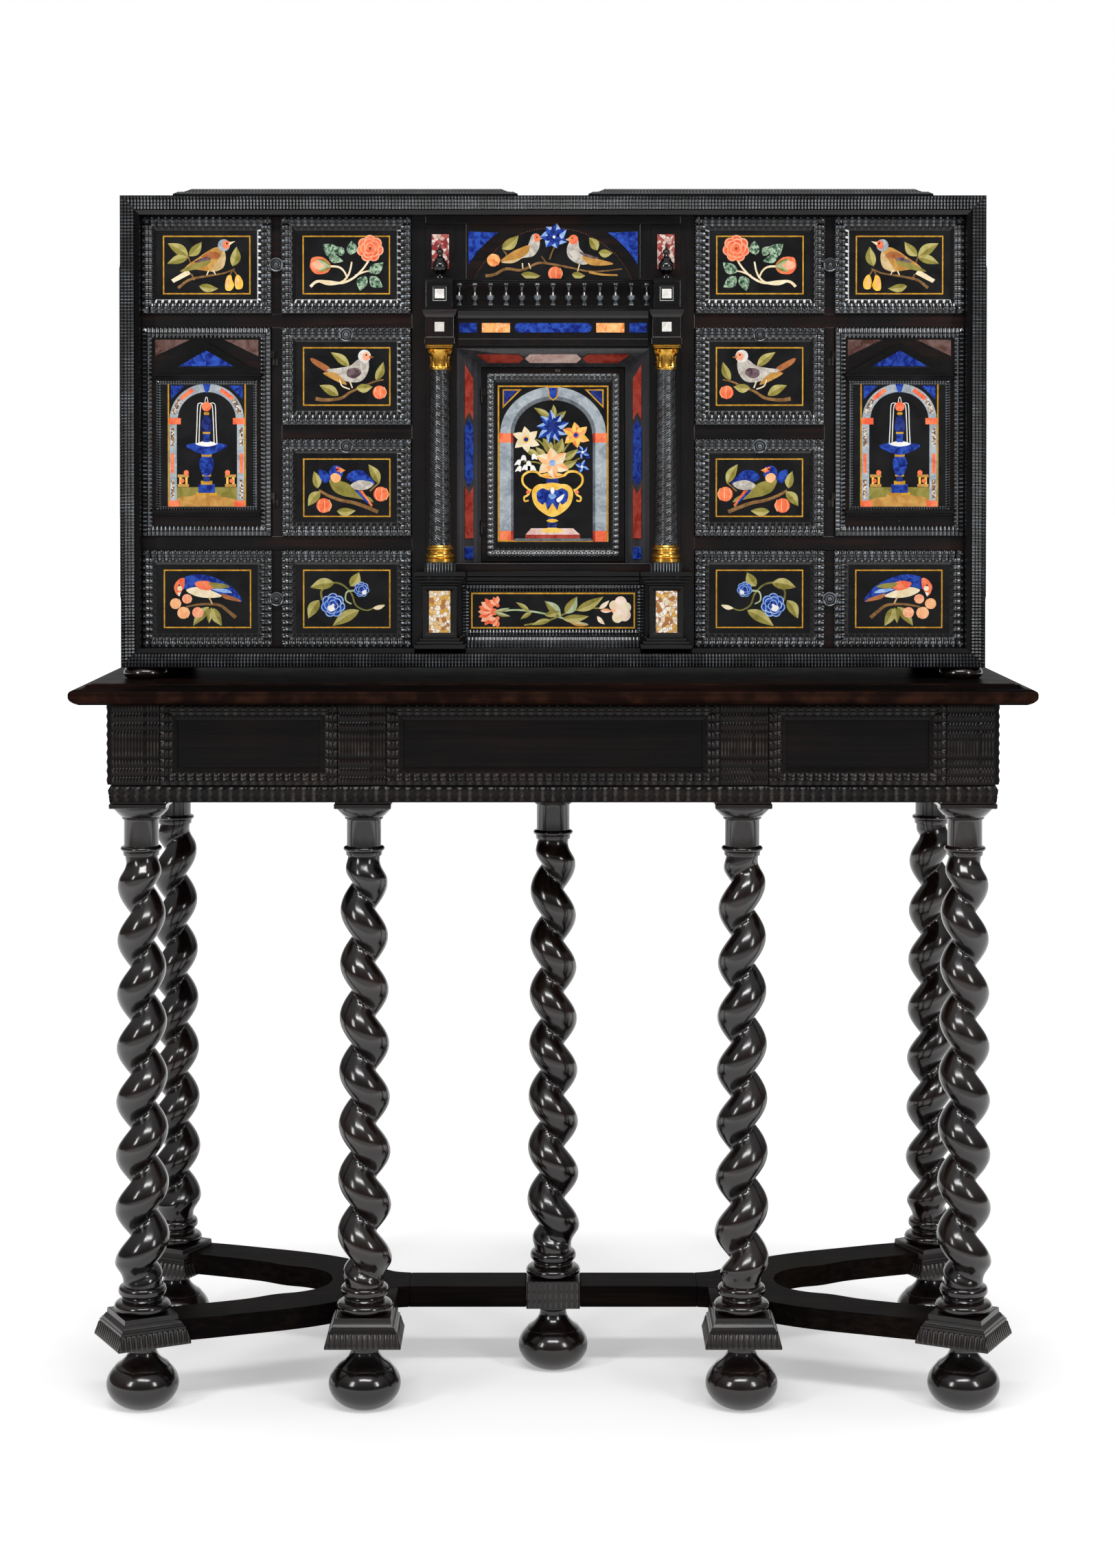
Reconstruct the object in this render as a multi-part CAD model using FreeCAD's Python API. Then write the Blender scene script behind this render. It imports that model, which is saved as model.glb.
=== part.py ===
import FreeCAD, Part
import math
import os

# Drawer cabinet with stone panels on a seven-legged, twist-turned stand.
# Millimetres, +Z up, the front faces -Y, the origin is on the floor under the middle of the stand.

V = FreeCAD.Vector
RIGHT = V(1, 0, 0)
BACK = V(0, 1, 0)
UP = V(0, 0, 1)
SIDES = (-1, 1)

# General fits
OVERRUN = 5.0            # how far a cutting shape runs past what it cuts
FRONT_GAP = 0.6          # room round a drawer front or door in its opening
RUN_GAP = 0.3            # room under a drawer and between knuckles
TENON_PLAY = 0.1         # radial room of a turned tenon in its hole

# Stand top
STAND_HEIGHT = 926.0
TOP_OVERHANG = 47.0      # past the frieze, all round
TOP_THICK = 26.0
TOP_EDGE_WIDTH = 26.0    # moulded edge, from the nosing to the flat field
TOP_EDGE_SHARES = [(0.46, 0.0), (0.04, 0.26), (0.0, 0.36), (0.0, 0.58), (0.06, 0.68), (0.2, 0.74),
                   (0.45, 0.77), (0.68, 0.84), (0.8, 0.95), (0.98, 0.96), (1.0, 1.0)]

# Frieze under the top
FRIEZE_WIDTH = 1110.0
FRIEZE_DEPTH = 406.0
FRIEZE_HEIGHT = 103.0
RAIL_THICK = 18.0
BASE_HEIGHT = 22.0       # ripple moulding along the lower edge
BASE_REACH = 4.0
LEG_BLOCK_SIDE = 60.0
BEARER_HEIGHT = 50.0
FRIEZE_BLOCK_WIDTH = 62.0
FRIEZE_PANEL_REACH = 7.0
FRIEZE_BLOCK_REACH = 5.0
FRIEZE_FRAME_WIDTH = 21.0
FRAME_SHARES = [(0.0, 0.0), (0.0, 0.72), (0.14, 1.0), (0.42, 0.96), (0.72, 0.7), (1.0, 0.42), (1.0, 0.0)]
BASE_SHARES = [(0.0, 0.0), (0.6, 0.0), (1.0, 0.25), (1.0, 0.7), (0.45, 1.0), (0.0, 1.0)]

# Legs
LEG_MARGIN_X = 4.0       # between a corner leg's tenon and the end rail
LEG_MARGIN_Y = 10.0      # between a tenon and the front or back rail
INNER_LEG_SPAN = 480.0
ABACUS_SIDE = 72.0
ABACUS_THICK = 9.0
LEG_TENON_RADIUS = 10.0
LEG_TENON_LENGTH = 30.0
LEG_FOOT_TENON = 15.0
BUN_TENON = 10.0
CAPITAL_HEIGHT = 16.0
CAPITAL_RADIUS = 35.0
NECK_HEIGHT = 34.0
NECK_RADIUS = 22.0
ASTRAGAL_HEIGHT = 7.0
ASTRAGAL_RADIUS = 26.5
COLLAR_HEIGHT = 5.0
COLLAR_RADIUS = 23.0
UPPER_TORUS_HEIGHT = 13.0
UPPER_TORUS_RADIUS = 30.5
SCOTIA_HEIGHT = 6.0
SCOTIA_RADIUS = 26.0
LOWER_TORUS_HEIGHT = 15.0
LOWER_TORUS_RADIUS = 36.0
TWIST_TOP_RADIUS = 20.5
TWIST_FOOT_RADIUS = 24.5
TWIST_TOP_SWING = 9.0    # how far the strand's middle swings off the leg's axis
TWIST_FOOT_SWING = 10.5
TWIST_TURNS = 8
TWIST_STEPS = 10         # sections per turn
TWIST_RUN_IN = 26.0      # length over which the swing grows from nothing
# name, x and y as shares of the half spans, whether it is an inner leg, hand and starting angle of the twist
LEG_SHARES = [("front_left", -1, -1, 0, 1, 40), ("front_right", 1, -1, 0, -1, 150),
              ("back_left", -1, 1, 0, 1, 200), ("back_right", 1, 1, 0, 1, 90),
              ("inner_left", -1, -1, 1, -1, 180), ("inner_right", 1, -1, 1, 1, 180),
              ("middle", 0, 0, 0, -1, 180)]

# Plinths, stretchers and feet
PLINTH_HEIGHT = 36.0
PLINTH_TOP_SIDE = 83.0
PLINTH_FOOT_SIDE = 97.0
MIDDLE_PLINTH_SIDE = 71.0
PLINTH_TURN = 27.0       # degrees by which the corner plinths face the stretcher arms
PLINTH_SHARES = [(1.0, 0.0), (1.0, 0.16), (0.55, 0.42), (0.3, 0.6), (0.0, 0.7), (0.0, 1.0)]
STRETCHER_RISE = 2.0     # above the underside of the plinths
STRETCHER_THICK = 27.5
BAR_WIDTH = 66.0
ARM_WIDTH = 68.0
HUB_INNER_X = 190.0      # where the centre bar begins
HUB_OUTER_X = 356.0      # where the arms leave the hub
FORK_RADIUS = 64.0       # round end of the gap between the arms
STUB_WIDTH = 72.0
HUB_EDGE_SHARES = [(0.66, 0.83), (0.43, 0.53), (0.21, 0.13)]
ARM_SHARES = [(0.2, 0.36), (0.56, 0.75)]
FOOT_RADIUS = 46.0
FOOT_BALL_HEIGHT = 60.0
FOOT_NECK_HEIGHT = 20.0
FOOT_NECK_RADIUS = 16.0
FOOT_SHARES = [(0.55, 0.0), (0.86, 0.16), (1.0, 0.52), (0.84, 0.86), (0.5, 1.0)]
FOOT_COLLAR_RADIUS = 24.0
FOOT_COLLAR_HEIGHT = 6.0

# Case of the cabinet
CASE_WIDTH = 1100.0
CASE_HEIGHT = 600.0
CASE_DEPTH = 380.0
CASE_BOARD = 24.0
CASE_SETBACK = 95.0      # case front behind the stand's front edge
BACK_THICK = 12.0
FRAME_REACH = 9.0        # front ripple frame
FRONT_RECESS = 30.0      # drawer fronts behind the front of the frame
CASE_FOOT_HEIGHT = 15.0
CASE_FOOT_RADIUS = 27.5
CASE_FOOT_SHARES = [(0.78, 0.0), (0.97, 0.25), (1.0, 0.5), (0.95, 0.78), (0.8, 1.0)]
CASE_FRAME_SHARES = [(0.0, 0.0), (0.0, 0.75), (0.06, 1.0), (0.78, 1.0), (1.0, 0.4), (1.0, 0.0)]
RAISED_REACH = 12.0
RAISED_BEVEL = 22.0
RAISED_SHARES = [(0.0, 0.0), (0.0, 0.3), (0.35, 0.62), (0.5, 0.62), (0.95, 1.0), (1.0, 1.0)]
TOP_PANEL_GAP = 90.0     # between the two raised panels on the top
TOP_PANEL_MARGIN = 65.0
TOP_PANEL_FRONT_MARGIN = 20.0
SIDE_PANEL_REACH = 10.0
SIDE_PANEL_MARGIN = 67.0
SIDE_PANEL_FRONT_MARGIN = 40.0

# Rows and columns inside the case
ROWS = 4
SHELF_THICK = 17.3
PARTITION_THICK = 18.0
DIVIDER_THICK = 13.0
CENTRE_HALF = 163.0      # half width between the two main partitions

# Drawers
FRONT_THICK = 14.0
LINING_THICK = 8.0
DRAWER_FLOOR = 6.0
DRAWER_BACK_GAP = 14.0
SIDE_DROP = 6.0          # lining sides below the top of the front
PANEL_FRAME_WIDTH = 18.0
PANEL_FRAME_REACH = 8.0
STONE_THICK = 3.0
STONE_PLAY = 0.1
KNOB_RADIUS = 9.0
KNOB_REACH = 15.0
KNOB_STEM_RADIUS = 4.0
KNOB_SHARES = [(1.0, 0.0), (1.0, 0.2), (0.62, 0.36), (0.62, 0.5), (0.34, 0.62), (0.34, 0.8), (0.18, 1.0)]

# Side doors with temple fronts
DOOR_THICK = 16.0
DOOR_FRAME_WIDTH = 13.0
DOOR_FRAME_REACH = 7.0
TEMPLE_REACH = 7.0
PEDIMENT_HEIGHT = 40.0
PEDIMENT_DROP = 6.0      # from the outer frame to the apex
CORNICE_HEIGHT = 8.0
TYMPANUM_SHARE = 0.5
TEMPLE_FRAME_WIDTH = 6.0
TEMPLE_FRAME_REACH = 5.0
TEMPLE_MARGIN = 5.0      # between the outer frame and the inner one
TEMPLE_SILL_HEIGHT = 8.0
TEMPLE_FOOT_MARGIN = 12.0

# Hinges
KNUCKLE_RADIUS = 1.9
KNUCKLE_LENGTH = 9.0
PIN_RADIUS = 1.0
PIN_PLAY = 0.06
HINGE_SHARES = (0.14, 0.82)
LEAF_THICK = 1.2
LEAF_WIDTH = 6.0
SIDE_KNUCKLE_CLEAR = 0.5 # side door knuckle past its opening, on the divider
SIDE_KNUCKLE_STAND = 1.4 # side door knuckle in front of the face
NICHE_AXIS_OFFSET = 0.4  # central door axis inside its opening
NICHE_KNUCKLE_STAND = 0.6

# Centre front
FLOOR_HEIGHT = 14.0
CENTRE_ROW = 67.0        # low drawer
SILL_THICK = 27.0
REVEAL_HEAD = 4.0        # between the niche's outer edge and the entablature
REVEAL_MARGIN = 3.0      # between the niche's outer edge and the block over a column
REVEAL_SPLAY = 30.0
REVEAL_DROP = 23.0
REVEAL_DEPTH = 35.0
CEILING_THICK = 17.0
WALL_THICK = 10.0
CENTRE_DRAWER_MARGIN = 5.0
CENTRE_FRAME_WIDTH = 9.0
CENTRE_FRAME_REACH = 5.0
GUIDE_THICK = 12.0
NICHE_MARGIN = 7.0       # plain border of the central door
NICHE_FRAME_WIDTH = 12.0
NICHE_FRAME_REACH = 5.0

# Columns and pedestals
PEDESTAL_WIDTH = 44.0
PEDESTAL_DEPTH = 35.0
CAP_HEIGHT = 17.0
CAP_OVERHANG = 11.0
CAP_FRONT_OVERHANG = 5.0
CAP_CLEAR = 4.0          # between a cap and the drawers beside it
COLUMN_BLOCK_HEIGHT = 12.0
COLUMN_BLOCK_SIDE = 38.0
GILT_BASE_HEIGHT = 22.0
GILT_BASE_RADIUS = 18.5
SHAFT_FOOT_RADIUS = 14.0
SHAFT_TOP_RADIUS = 11.0
CAPITAL_MOUNT_HEIGHT = 32.0
CAPITAL_MOUNT_RADIUS = 16.5
GILT_BASE_SHARES = [(1.0, 0.0), (1.0, 0.3), (0.86, 0.42), (0.8, 0.6), (0.92, 0.74), (0.92, 0.88),
                    (0.78, 1.0)]
CAPITAL_MOUNT_SHARES = [(0.68, 0.0), (0.72, 0.08), (0.7, 0.3), (0.82, 0.62), (1.0, 0.82), (1.0, 1.0)]

# Entablature, balustrade and attic
ENTABLATURE_HEIGHT = 44.0
ENTABLATURE_REACH = 8.0
PIER_WIDTH = 36.0
PIER_DEPTH = 36.0
CORNICE_OVERHANG = 4.0
ENTABLATURE_SHARES = [(0.3, 0.0), (0.3, 0.18), (0.0, 0.2), (0.0, 0.78), (0.6, 0.86), (1.0, 1.0)]
BALUSTRADE_HEIGHT = 40.0
BALUSTERS = 13
BALUSTER_MARGIN = 6.6    # from the block over a column to the first baluster's axis
BALUSTER_RADIUS = 4.8
RAIL_HEIGHT = 6.0
RAIL_DEPTH = 10.0
BALUSTER_SHARES = [(0.7, 0.0), (0.7, 0.08), (0.45, 0.14), (1.0, 0.34), (0.6, 0.62), (0.42, 0.82),
                   (0.75, 0.9), (0.75, 1.0)]
FINIAL_RADIUS = 10.0
FINIAL_HEIGHT = 44.0
FINIAL_SHARES = [(0.7, 0.0), (0.7, 0.07), (0.32, 0.14), (0.9, 0.34), (1.0, 0.46), (0.6, 0.6), (0.35, 0.66),
                 (0.5, 0.76), (0.28, 0.88), (0.1, 1.0)]
ATTIC_HEIGHT = 121.0     # from the entablature to the case top
LUNETTE_SIDE_GAP = 14.5
LUNETTE_REACH = 4.0
LUNETTE_HEAD = 5.0       # between the arch and the cornice
LUNETTE_MARGIN = 11.0
ATTIC_CORNICE_HEIGHT = 10.0
ATTIC_CORNICE_REACH = 9.0
UPPER_PILASTER_REACH = 3.0

# Stones of the centre front
STONE_REACH = 1.5
PEARL_SIDE = 12.0
PEDESTAL_STONE_WIDTH = 27.0
PEDESTAL_STONE_HEIGHT = 53.0
UPPER_STONE_WIDTH = 22.0
UPPER_STONE_HEIGHT = 44.0
FRIEZE_STONE_HEIGHT = 12.0
FRIEZE_STONE_SHARES = [(0.0, 0.4), (0.45, 0.75), (0.8, 0.98)]
REVEAL_STONE_WIDTH = 12.0
REVEAL_MIDDLE_SHARE = 0.5
REVEAL_STONE_SHARES = [(0.05, 0.3), (0.36, 0.6), (0.66, 0.82), (0.87, 0.95)]
TOP_REVEAL_STONE_SHARES = [(-0.8, -0.3), (-0.22, 0.22), (0.3, 0.8)]

# Places worked out from the sizes
TOP_WIDTH = FRIEZE_WIDTH + 2 * TOP_OVERHANG
TOP_DEPTH = FRIEZE_DEPTH + 2 * TOP_OVERHANG
LEG_X = FRIEZE_WIDTH / 2 - RAIL_THICK - LEG_TENON_RADIUS - LEG_MARGIN_X
LEG_Y = FRIEZE_DEPTH / 2 - RAIL_THICK - LEG_TENON_RADIUS - LEG_MARGIN_Y
FRIEZE_TOP = STAND_HEIGHT - TOP_THICK
FRIEZE_BOTTOM = FRIEZE_TOP - FRIEZE_HEIGHT
BASE_BOTTOM = FRIEZE_BOTTOM - BASE_HEIGHT
FRIEZE_FRONT = -FRIEZE_DEPTH / 2
PLINTH_BOTTOM = FOOT_BALL_HEIGHT + FOOT_NECK_HEIGHT + FOOT_COLLAR_HEIGHT
PLINTH_TOP = PLINTH_BOTTOM + PLINTH_HEIGHT
LEG_TOP = BASE_BOTTOM - ABACUS_THICK
TWIST_BOTTOM = PLINTH_TOP + LOWER_TORUS_HEIGHT + SCOTIA_HEIGHT + UPPER_TORUS_HEIGHT
TWIST_TOP = LEG_TOP - CAPITAL_HEIGHT - NECK_HEIGHT - ASTRAGAL_HEIGHT - COLLAR_HEIGHT
STRETCHER_BOTTOM = PLINTH_BOTTOM + STRETCHER_RISE
STRETCHER_TOP = STRETCHER_BOTTOM + STRETCHER_THICK
CASE_FRONT = -TOP_DEPTH / 2 + CASE_SETBACK
CASE_BACK = CASE_FRONT + CASE_DEPTH
CASE_BOTTOM = STAND_HEIGHT + CASE_FOOT_HEIGHT
CASE_TOP = CASE_BOTTOM + CASE_HEIGHT
BOARD_FRONT = CASE_FRONT + FRAME_REACH
INNER_X = CASE_WIDTH / 2 - CASE_BOARD
INNER_BOTTOM = CASE_BOTTOM + CASE_BOARD
INNER_TOP = CASE_TOP - CASE_BOARD
INNER_BACK = CASE_BACK - BACK_THICK
FACE = CASE_FRONT + FRONT_RECESS
DRAWER_LENGTH = INNER_BACK - FACE - FRONT_THICK - DRAWER_BACK_GAP
ROW_HEIGHT = (INNER_TOP - INNER_BOTTOM - (ROWS - 1) * SHELF_THICK) / ROWS
BANK_X = CENTRE_HALF + PARTITION_THICK
COLUMN_WIDTH = (INNER_X - BANK_X - DIVIDER_THICK) / 2
DIVIDER_X = BANK_X + COLUMN_WIDTH
DOOR_X = DIVIDER_X + DIVIDER_THICK
DRAWER_ROW_BOTTOM = INNER_BOTTOM + FLOOR_HEIGHT
SILL_BOTTOM = DRAWER_ROW_BOTTOM + CENTRE_ROW
SILL_TOP = SILL_BOTTOM + SILL_THICK
PEDESTAL_TOP = SILL_BOTTOM + CAP_HEIGHT
COLUMN_X = BANK_X - CAP_CLEAR - CAP_OVERHANG - PEDESTAL_WIDTH / 2
COLUMN_Y = FACE - COLUMN_BLOCK_SIDE / 2
ENTABLATURE_TOP = INNER_TOP - ATTIC_HEIGHT
ENTABLATURE_BOTTOM = ENTABLATURE_TOP - ENTABLATURE_HEIGHT
ENTABLATURE_HALF = COLUMN_X - PIER_WIDTH / 2
REVEAL_TOP = ENTABLATURE_BOTTOM - REVEAL_HEAD
REVEAL_HALF = ENTABLATURE_HALF - REVEAL_MARGIN
NICHE_TOP = REVEAL_TOP - REVEAL_DROP
NICHE_HEIGHT = NICHE_TOP - SILL_TOP
NICHE_HALF = REVEAL_HALF - REVEAL_SPLAY
NICHE_FACE = FACE + REVEAL_DEPTH
CENTRE_DRAWER_HALF = COLUMN_X - PEDESTAL_WIDTH / 2 - CENTRE_DRAWER_MARGIN
BALUSTRADE_TOP = ENTABLATURE_TOP + BALUSTRADE_HEIGHT
ATTIC_CORNICE_BOTTOM = INNER_TOP - ATTIC_CORNICE_HEIGHT
LUNETTE_HALF = ENTABLATURE_HALF - LUNETTE_SIDE_GAP
LUNETTE_RISE = ATTIC_CORNICE_BOTTOM - LUNETTE_HEAD - BALUSTRADE_TOP


def row_bottom(row):
    return INNER_BOTTOM + row * (ROW_HEIGHT + SHELF_THICK)


# Shape helpers
def box(x, y, z):
    """Box between two values on each axis."""
    low = V(min(x), min(y), min(z))
    return Part.makeBox(max(x) - low.x, max(y) - low.y, max(z) - low.z, low)


def about(middle, size):
    return middle - size / 2, middle + size / 2


def mirrored(side, low, high):
    """Span on the left or right of the middle plane."""
    return side * low, side * high


def scaled(shares, first, second):
    return [(a * first, b * second) for a, b in shares]


def ring_solid(rings):
    """Flat-faced solid through rings of matching corners."""
    outlines = [rings[0], rings[-1]]
    for low, high in zip(rings, rings[1:]):
        for i in range(len(low)):
            j = (i + 1) % len(low)
            outlines.append([low[i], low[j], high[j], high[i]])
    shell = Part.makeShell([Part.Face(Part.makePolygon(list(ring) + [ring[0]])) for ring in outlines])
    shell.sewShape()
    solid = Part.makeSolid(shell)
    if solid.Volume < 0:
        solid.reverse()
    return solid


def prism(points, run):
    return Part.Face(Part.makePolygon(points + [points[0]])).extrude(run)


def plate(corner, u, v, out, width, height, levels):
    """Rectangular plate with a moulded edge; a level is (inset, reach)."""
    rings = []
    for inset, reach in levels:
        low = corner + u * inset + v * inset + out * reach
        across = u * (width - 2 * inset)
        along = v * (height - 2 * inset)
        rings.append([low, low + across, low + across + along, low + along])
    return ring_solid(rings)


def mitred_frame(corner, u, v, out, width, height, profile):
    """Four mitred lengths round a rectangle; a profile point is (inset, reach)."""
    across = u * width
    along = v * height
    starts = [(corner, u, v, width), (corner + across, v, -u, height),
              (corner + across + along, -u, -v, width), (corner + along, -v, u, height)]
    lengths = []
    for start, run, inward, length in starts:
        near = [start + run * inset + inward * inset + out * reach for inset, reach in profile]
        far = [start + run * (length - inset) + inward * inset + out * reach for inset, reach in profile]
        lengths.append(ring_solid([near, far]))
    return lengths


def front_frame(x, z, y, width, reach):
    """Mitred frame on a face that looks to the front."""
    corner = V(min(x), y, min(z))
    return mitred_frame(corner, RIGHT, UP, -BACK, max(x) - min(x), max(z) - min(z),
                        scaled(FRAME_SHARES, width, reach))


def turned(runs, at=V(0, 0, 0)):
    """Turning about Z; a run of two (radius, height) points is straight, a longer one is a smooth curve."""
    edges = [Part.makeLine(V(0, 0, runs[0][0][1]), V(runs[0][0][0], 0, runs[0][0][1]))]
    for run in runs:
        points = [V(radius, 0, height) for radius, height in run]
        if len(points) == 2:
            edges.append(Part.makeLine(points[0], points[1]))
        else:
            curve = Part.BSplineCurve()
            if run[0][0] == run[-1][0]:
                # a bead leaves its core square to the axis, so it doesn't dip into what it stands on
                curve.interpolate(points, InitialTangent=RIGHT, FinalTangent=-RIGHT)
            else:
                curve.interpolate(points)
            edges.append(curve.toShape())
    last = runs[-1][-1]
    edges.append(Part.makeLine(V(last[0], 0, last[1]), V(0, 0, last[1])))
    edges.append(Part.makeLine(V(0, 0, last[1]), V(0, 0, runs[0][0][1])))
    solid = Part.Face(Part.Wire(edges)).revolve(V(0, 0, 0), UP, 360)
    solid.translate(at)
    return solid


def straight(points):
    return [[a, b] for a, b in zip(points, points[1:])]


def lifted(points, height):
    return [(radius, z + height) for radius, z in points]


def knob(x, z):
    """Turned knob that looks to the front, on a stem from the drawer front."""
    stem = [(KNOB_STEM_RADIUS, 0), (KNOB_STEM_RADIUS, PANEL_FRAME_REACH)]
    head = lifted(scaled(KNOB_SHARES, KNOB_RADIUS, KNOB_REACH - PANEL_FRAME_REACH), PANEL_FRAME_REACH)
    solid = turned(straight(stem + head))
    solid.rotate(V(0, 0, 0), RIGHT, 90)
    solid.translate(V(x, FACE, z))
    return solid


def knuckle_pair(x, y, z, fixed_leaf, moving_leaf):
    """Pin hinge: the lower knuckle holds the pin, the upper one turns on it."""
    axis = V(x, y, z)
    lower = Part.makeCylinder(KNUCKLE_RADIUS, KNUCKLE_LENGTH, axis)
    top = z + KNUCKLE_LENGTH + RUN_GAP
    pin = Part.makeCylinder(PIN_RADIUS, top + KNUCKLE_LENGTH - z, axis)
    fixed = lower.fuse(pin).fuse(box(fixed_leaf[0], fixed_leaf[1], (z, z + KNUCKLE_LENGTH)))
    upper = Part.makeCylinder(KNUCKLE_RADIUS, KNUCKLE_LENGTH, V(x, y, top))
    moving = upper.fuse(box(moving_leaf[0], moving_leaf[1], (top, top + KNUCKLE_LENGTH)))
    bore = Part.makeCylinder(PIN_RADIUS + PIN_PLAY, KNUCKLE_LENGTH + 2 * OVERRUN, V(x, y, top - OVERRUN))
    return fixed, moving.cut(bore)


# Stand
def stand_top():
    corner = V(-TOP_WIDTH / 2, -TOP_DEPTH / 2, FRIEZE_TOP)
    return [plate(corner, RIGHT, BACK, UP, TOP_WIDTH, TOP_DEPTH,
                  scaled(TOP_EDGE_SHARES, TOP_EDGE_WIDTH, TOP_THICK))]


def leg_places():
    places = []
    for name, x_share, y_share, inner, hand, start in LEG_SHARES:
        x = INNER_LEG_SPAN / 2 if inner else LEG_X
        places.append((name, x_share * x, y_share * LEG_Y, inner, hand, start))
    return places


def frieze_rails():
    x = FRIEZE_WIDTH / 2
    y = FRIEZE_DEPTH / 2
    z = (BASE_BOTTOM, FRIEZE_TOP)
    solids = []
    for side in SIDES:
        solids.append(box((-x, x), mirrored(side, y - RAIL_THICK, y), z))
        solids.append(box(mirrored(side, x - RAIL_THICK, x), (RAIL_THICK - y, y - RAIL_THICK), z))
    inner_y = y - RAIL_THICK
    for name, leg_x, leg_y, inner, hand, start in leg_places():
        hole = Part.makeCylinder(LEG_TENON_RADIUS + TENON_PLAY, LEG_TENON_LENGTH + OVERRUN,
                                 V(leg_x, leg_y, BASE_BOTTOM - OVERRUN))
        if name == "middle":
            bearer = box(about(leg_x, LEG_BLOCK_SIDE), (-inner_y, inner_y),
                         (BASE_BOTTOM, BASE_BOTTOM + BEARER_HEIGHT))
            solids.append(bearer.cut(hole))
            continue
        side = math.copysign(1, leg_y)
        block_x = about(leg_x, LEG_BLOCK_SIDE)
        if not inner:
            block_x = mirrored(math.copysign(1, leg_x), x - RAIL_THICK - LEG_BLOCK_SIDE, x - RAIL_THICK)
        block = box(block_x, mirrored(side, inner_y - LEG_BLOCK_SIDE, inner_y), z)
        solids.append(block.cut(hole))
    return solids


def frieze_mouldings():
    solids = []
    x = FRIEZE_WIDTH / 2
    z = (FRIEZE_BOTTOM, FRIEZE_TOP)
    inner = INNER_LEG_SPAN / 2
    half = FRIEZE_BLOCK_WIDTH / 2
    edges = [-x + FRIEZE_BLOCK_WIDTH, -inner - half, -inner + half, inner - half, inner + half,
             x - FRIEZE_BLOCK_WIDTH]
    for left, right in zip(edges[0::2], edges[1::2]):
        solids += front_frame((left, right), z, FRIEZE_FRONT, FRIEZE_FRAME_WIDTH, FRIEZE_PANEL_REACH)
    blocks = [(-x, edges[0]), (edges[1], edges[2]), (edges[3], edges[4]), (edges[5], x)]
    for block in blocks:
        solids.append(box(block, (FRIEZE_FRONT - FRIEZE_BLOCK_REACH, FRIEZE_FRONT), z))
    for side in SIDES:
        corner = V(side * x, FRIEZE_FRONT, FRIEZE_BOTTOM)
        solids += mitred_frame(corner, BACK, UP, RIGHT * side, FRIEZE_DEPTH, FRIEZE_HEIGHT,
                               scaled(FRAME_SHARES, FRIEZE_FRAME_WIDTH, FRIEZE_PANEL_REACH))
    return solids


def frieze_base():
    """Ripple moulding round the foot of the frieze, mitred at the corners."""
    profile = scaled(BASE_SHARES, BASE_REACH, BASE_HEIGHT)
    x = FRIEZE_WIDTH / 2
    y = FRIEZE_DEPTH / 2
    corners = [(-x, -y), (x, -y), (x, y), (-x, y)]
    solids = []
    for i, (ax, ay) in enumerate(corners):
        bx, by = corners[(i + 1) % len(corners)]
        ends = []
        for px, py in ((ax, ay), (bx, by)):
            ends.append([V(px + math.copysign(reach, px), py + math.copysign(reach, py), BASE_BOTTOM + rise)
                         for reach, rise in profile])
        solids.append(ring_solid(ends))
    return solids


def twist(hand, start):
    """Single-start twist: a round strand whose middle circles the leg's axis."""
    sections = []
    count = TWIST_TURNS * TWIST_STEPS
    length = TWIST_TOP - TWIST_BOTTOM
    for i in range(count + 1):
        share = i / count
        z = TWIST_BOTTOM + share * length
        run_in = min(1.0, share * length / TWIST_RUN_IN, (1 - share) * length / TWIST_RUN_IN)
        swing = run_in * (TWIST_FOOT_SWING + share * (TWIST_TOP_SWING - TWIST_FOOT_SWING))
        radius = TWIST_FOOT_RADIUS + share * (TWIST_TOP_RADIUS - TWIST_FOOT_RADIUS)
        angle = math.radians(start) + hand * math.tau * share * TWIST_TURNS
        centre = V(swing * math.cos(angle), swing * math.sin(angle), z)
        sections.append(Part.Wire(Part.makeCircle(radius, centre)))
    return Part.makeLoft(sections, True, True)


def bead(radius, core, bottom, height):
    """Half-round turned ring."""
    middle = bottom + height / 2
    swell = core + (radius - core) * math.sin(math.pi / 4)
    return [(core, bottom), (swell, bottom + height * (1 - math.cos(math.pi / 4)) / 2), (radius, middle),
            (swell, bottom + height * (1 + math.cos(math.pi / 4)) / 2), (core, bottom + height)]


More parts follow.
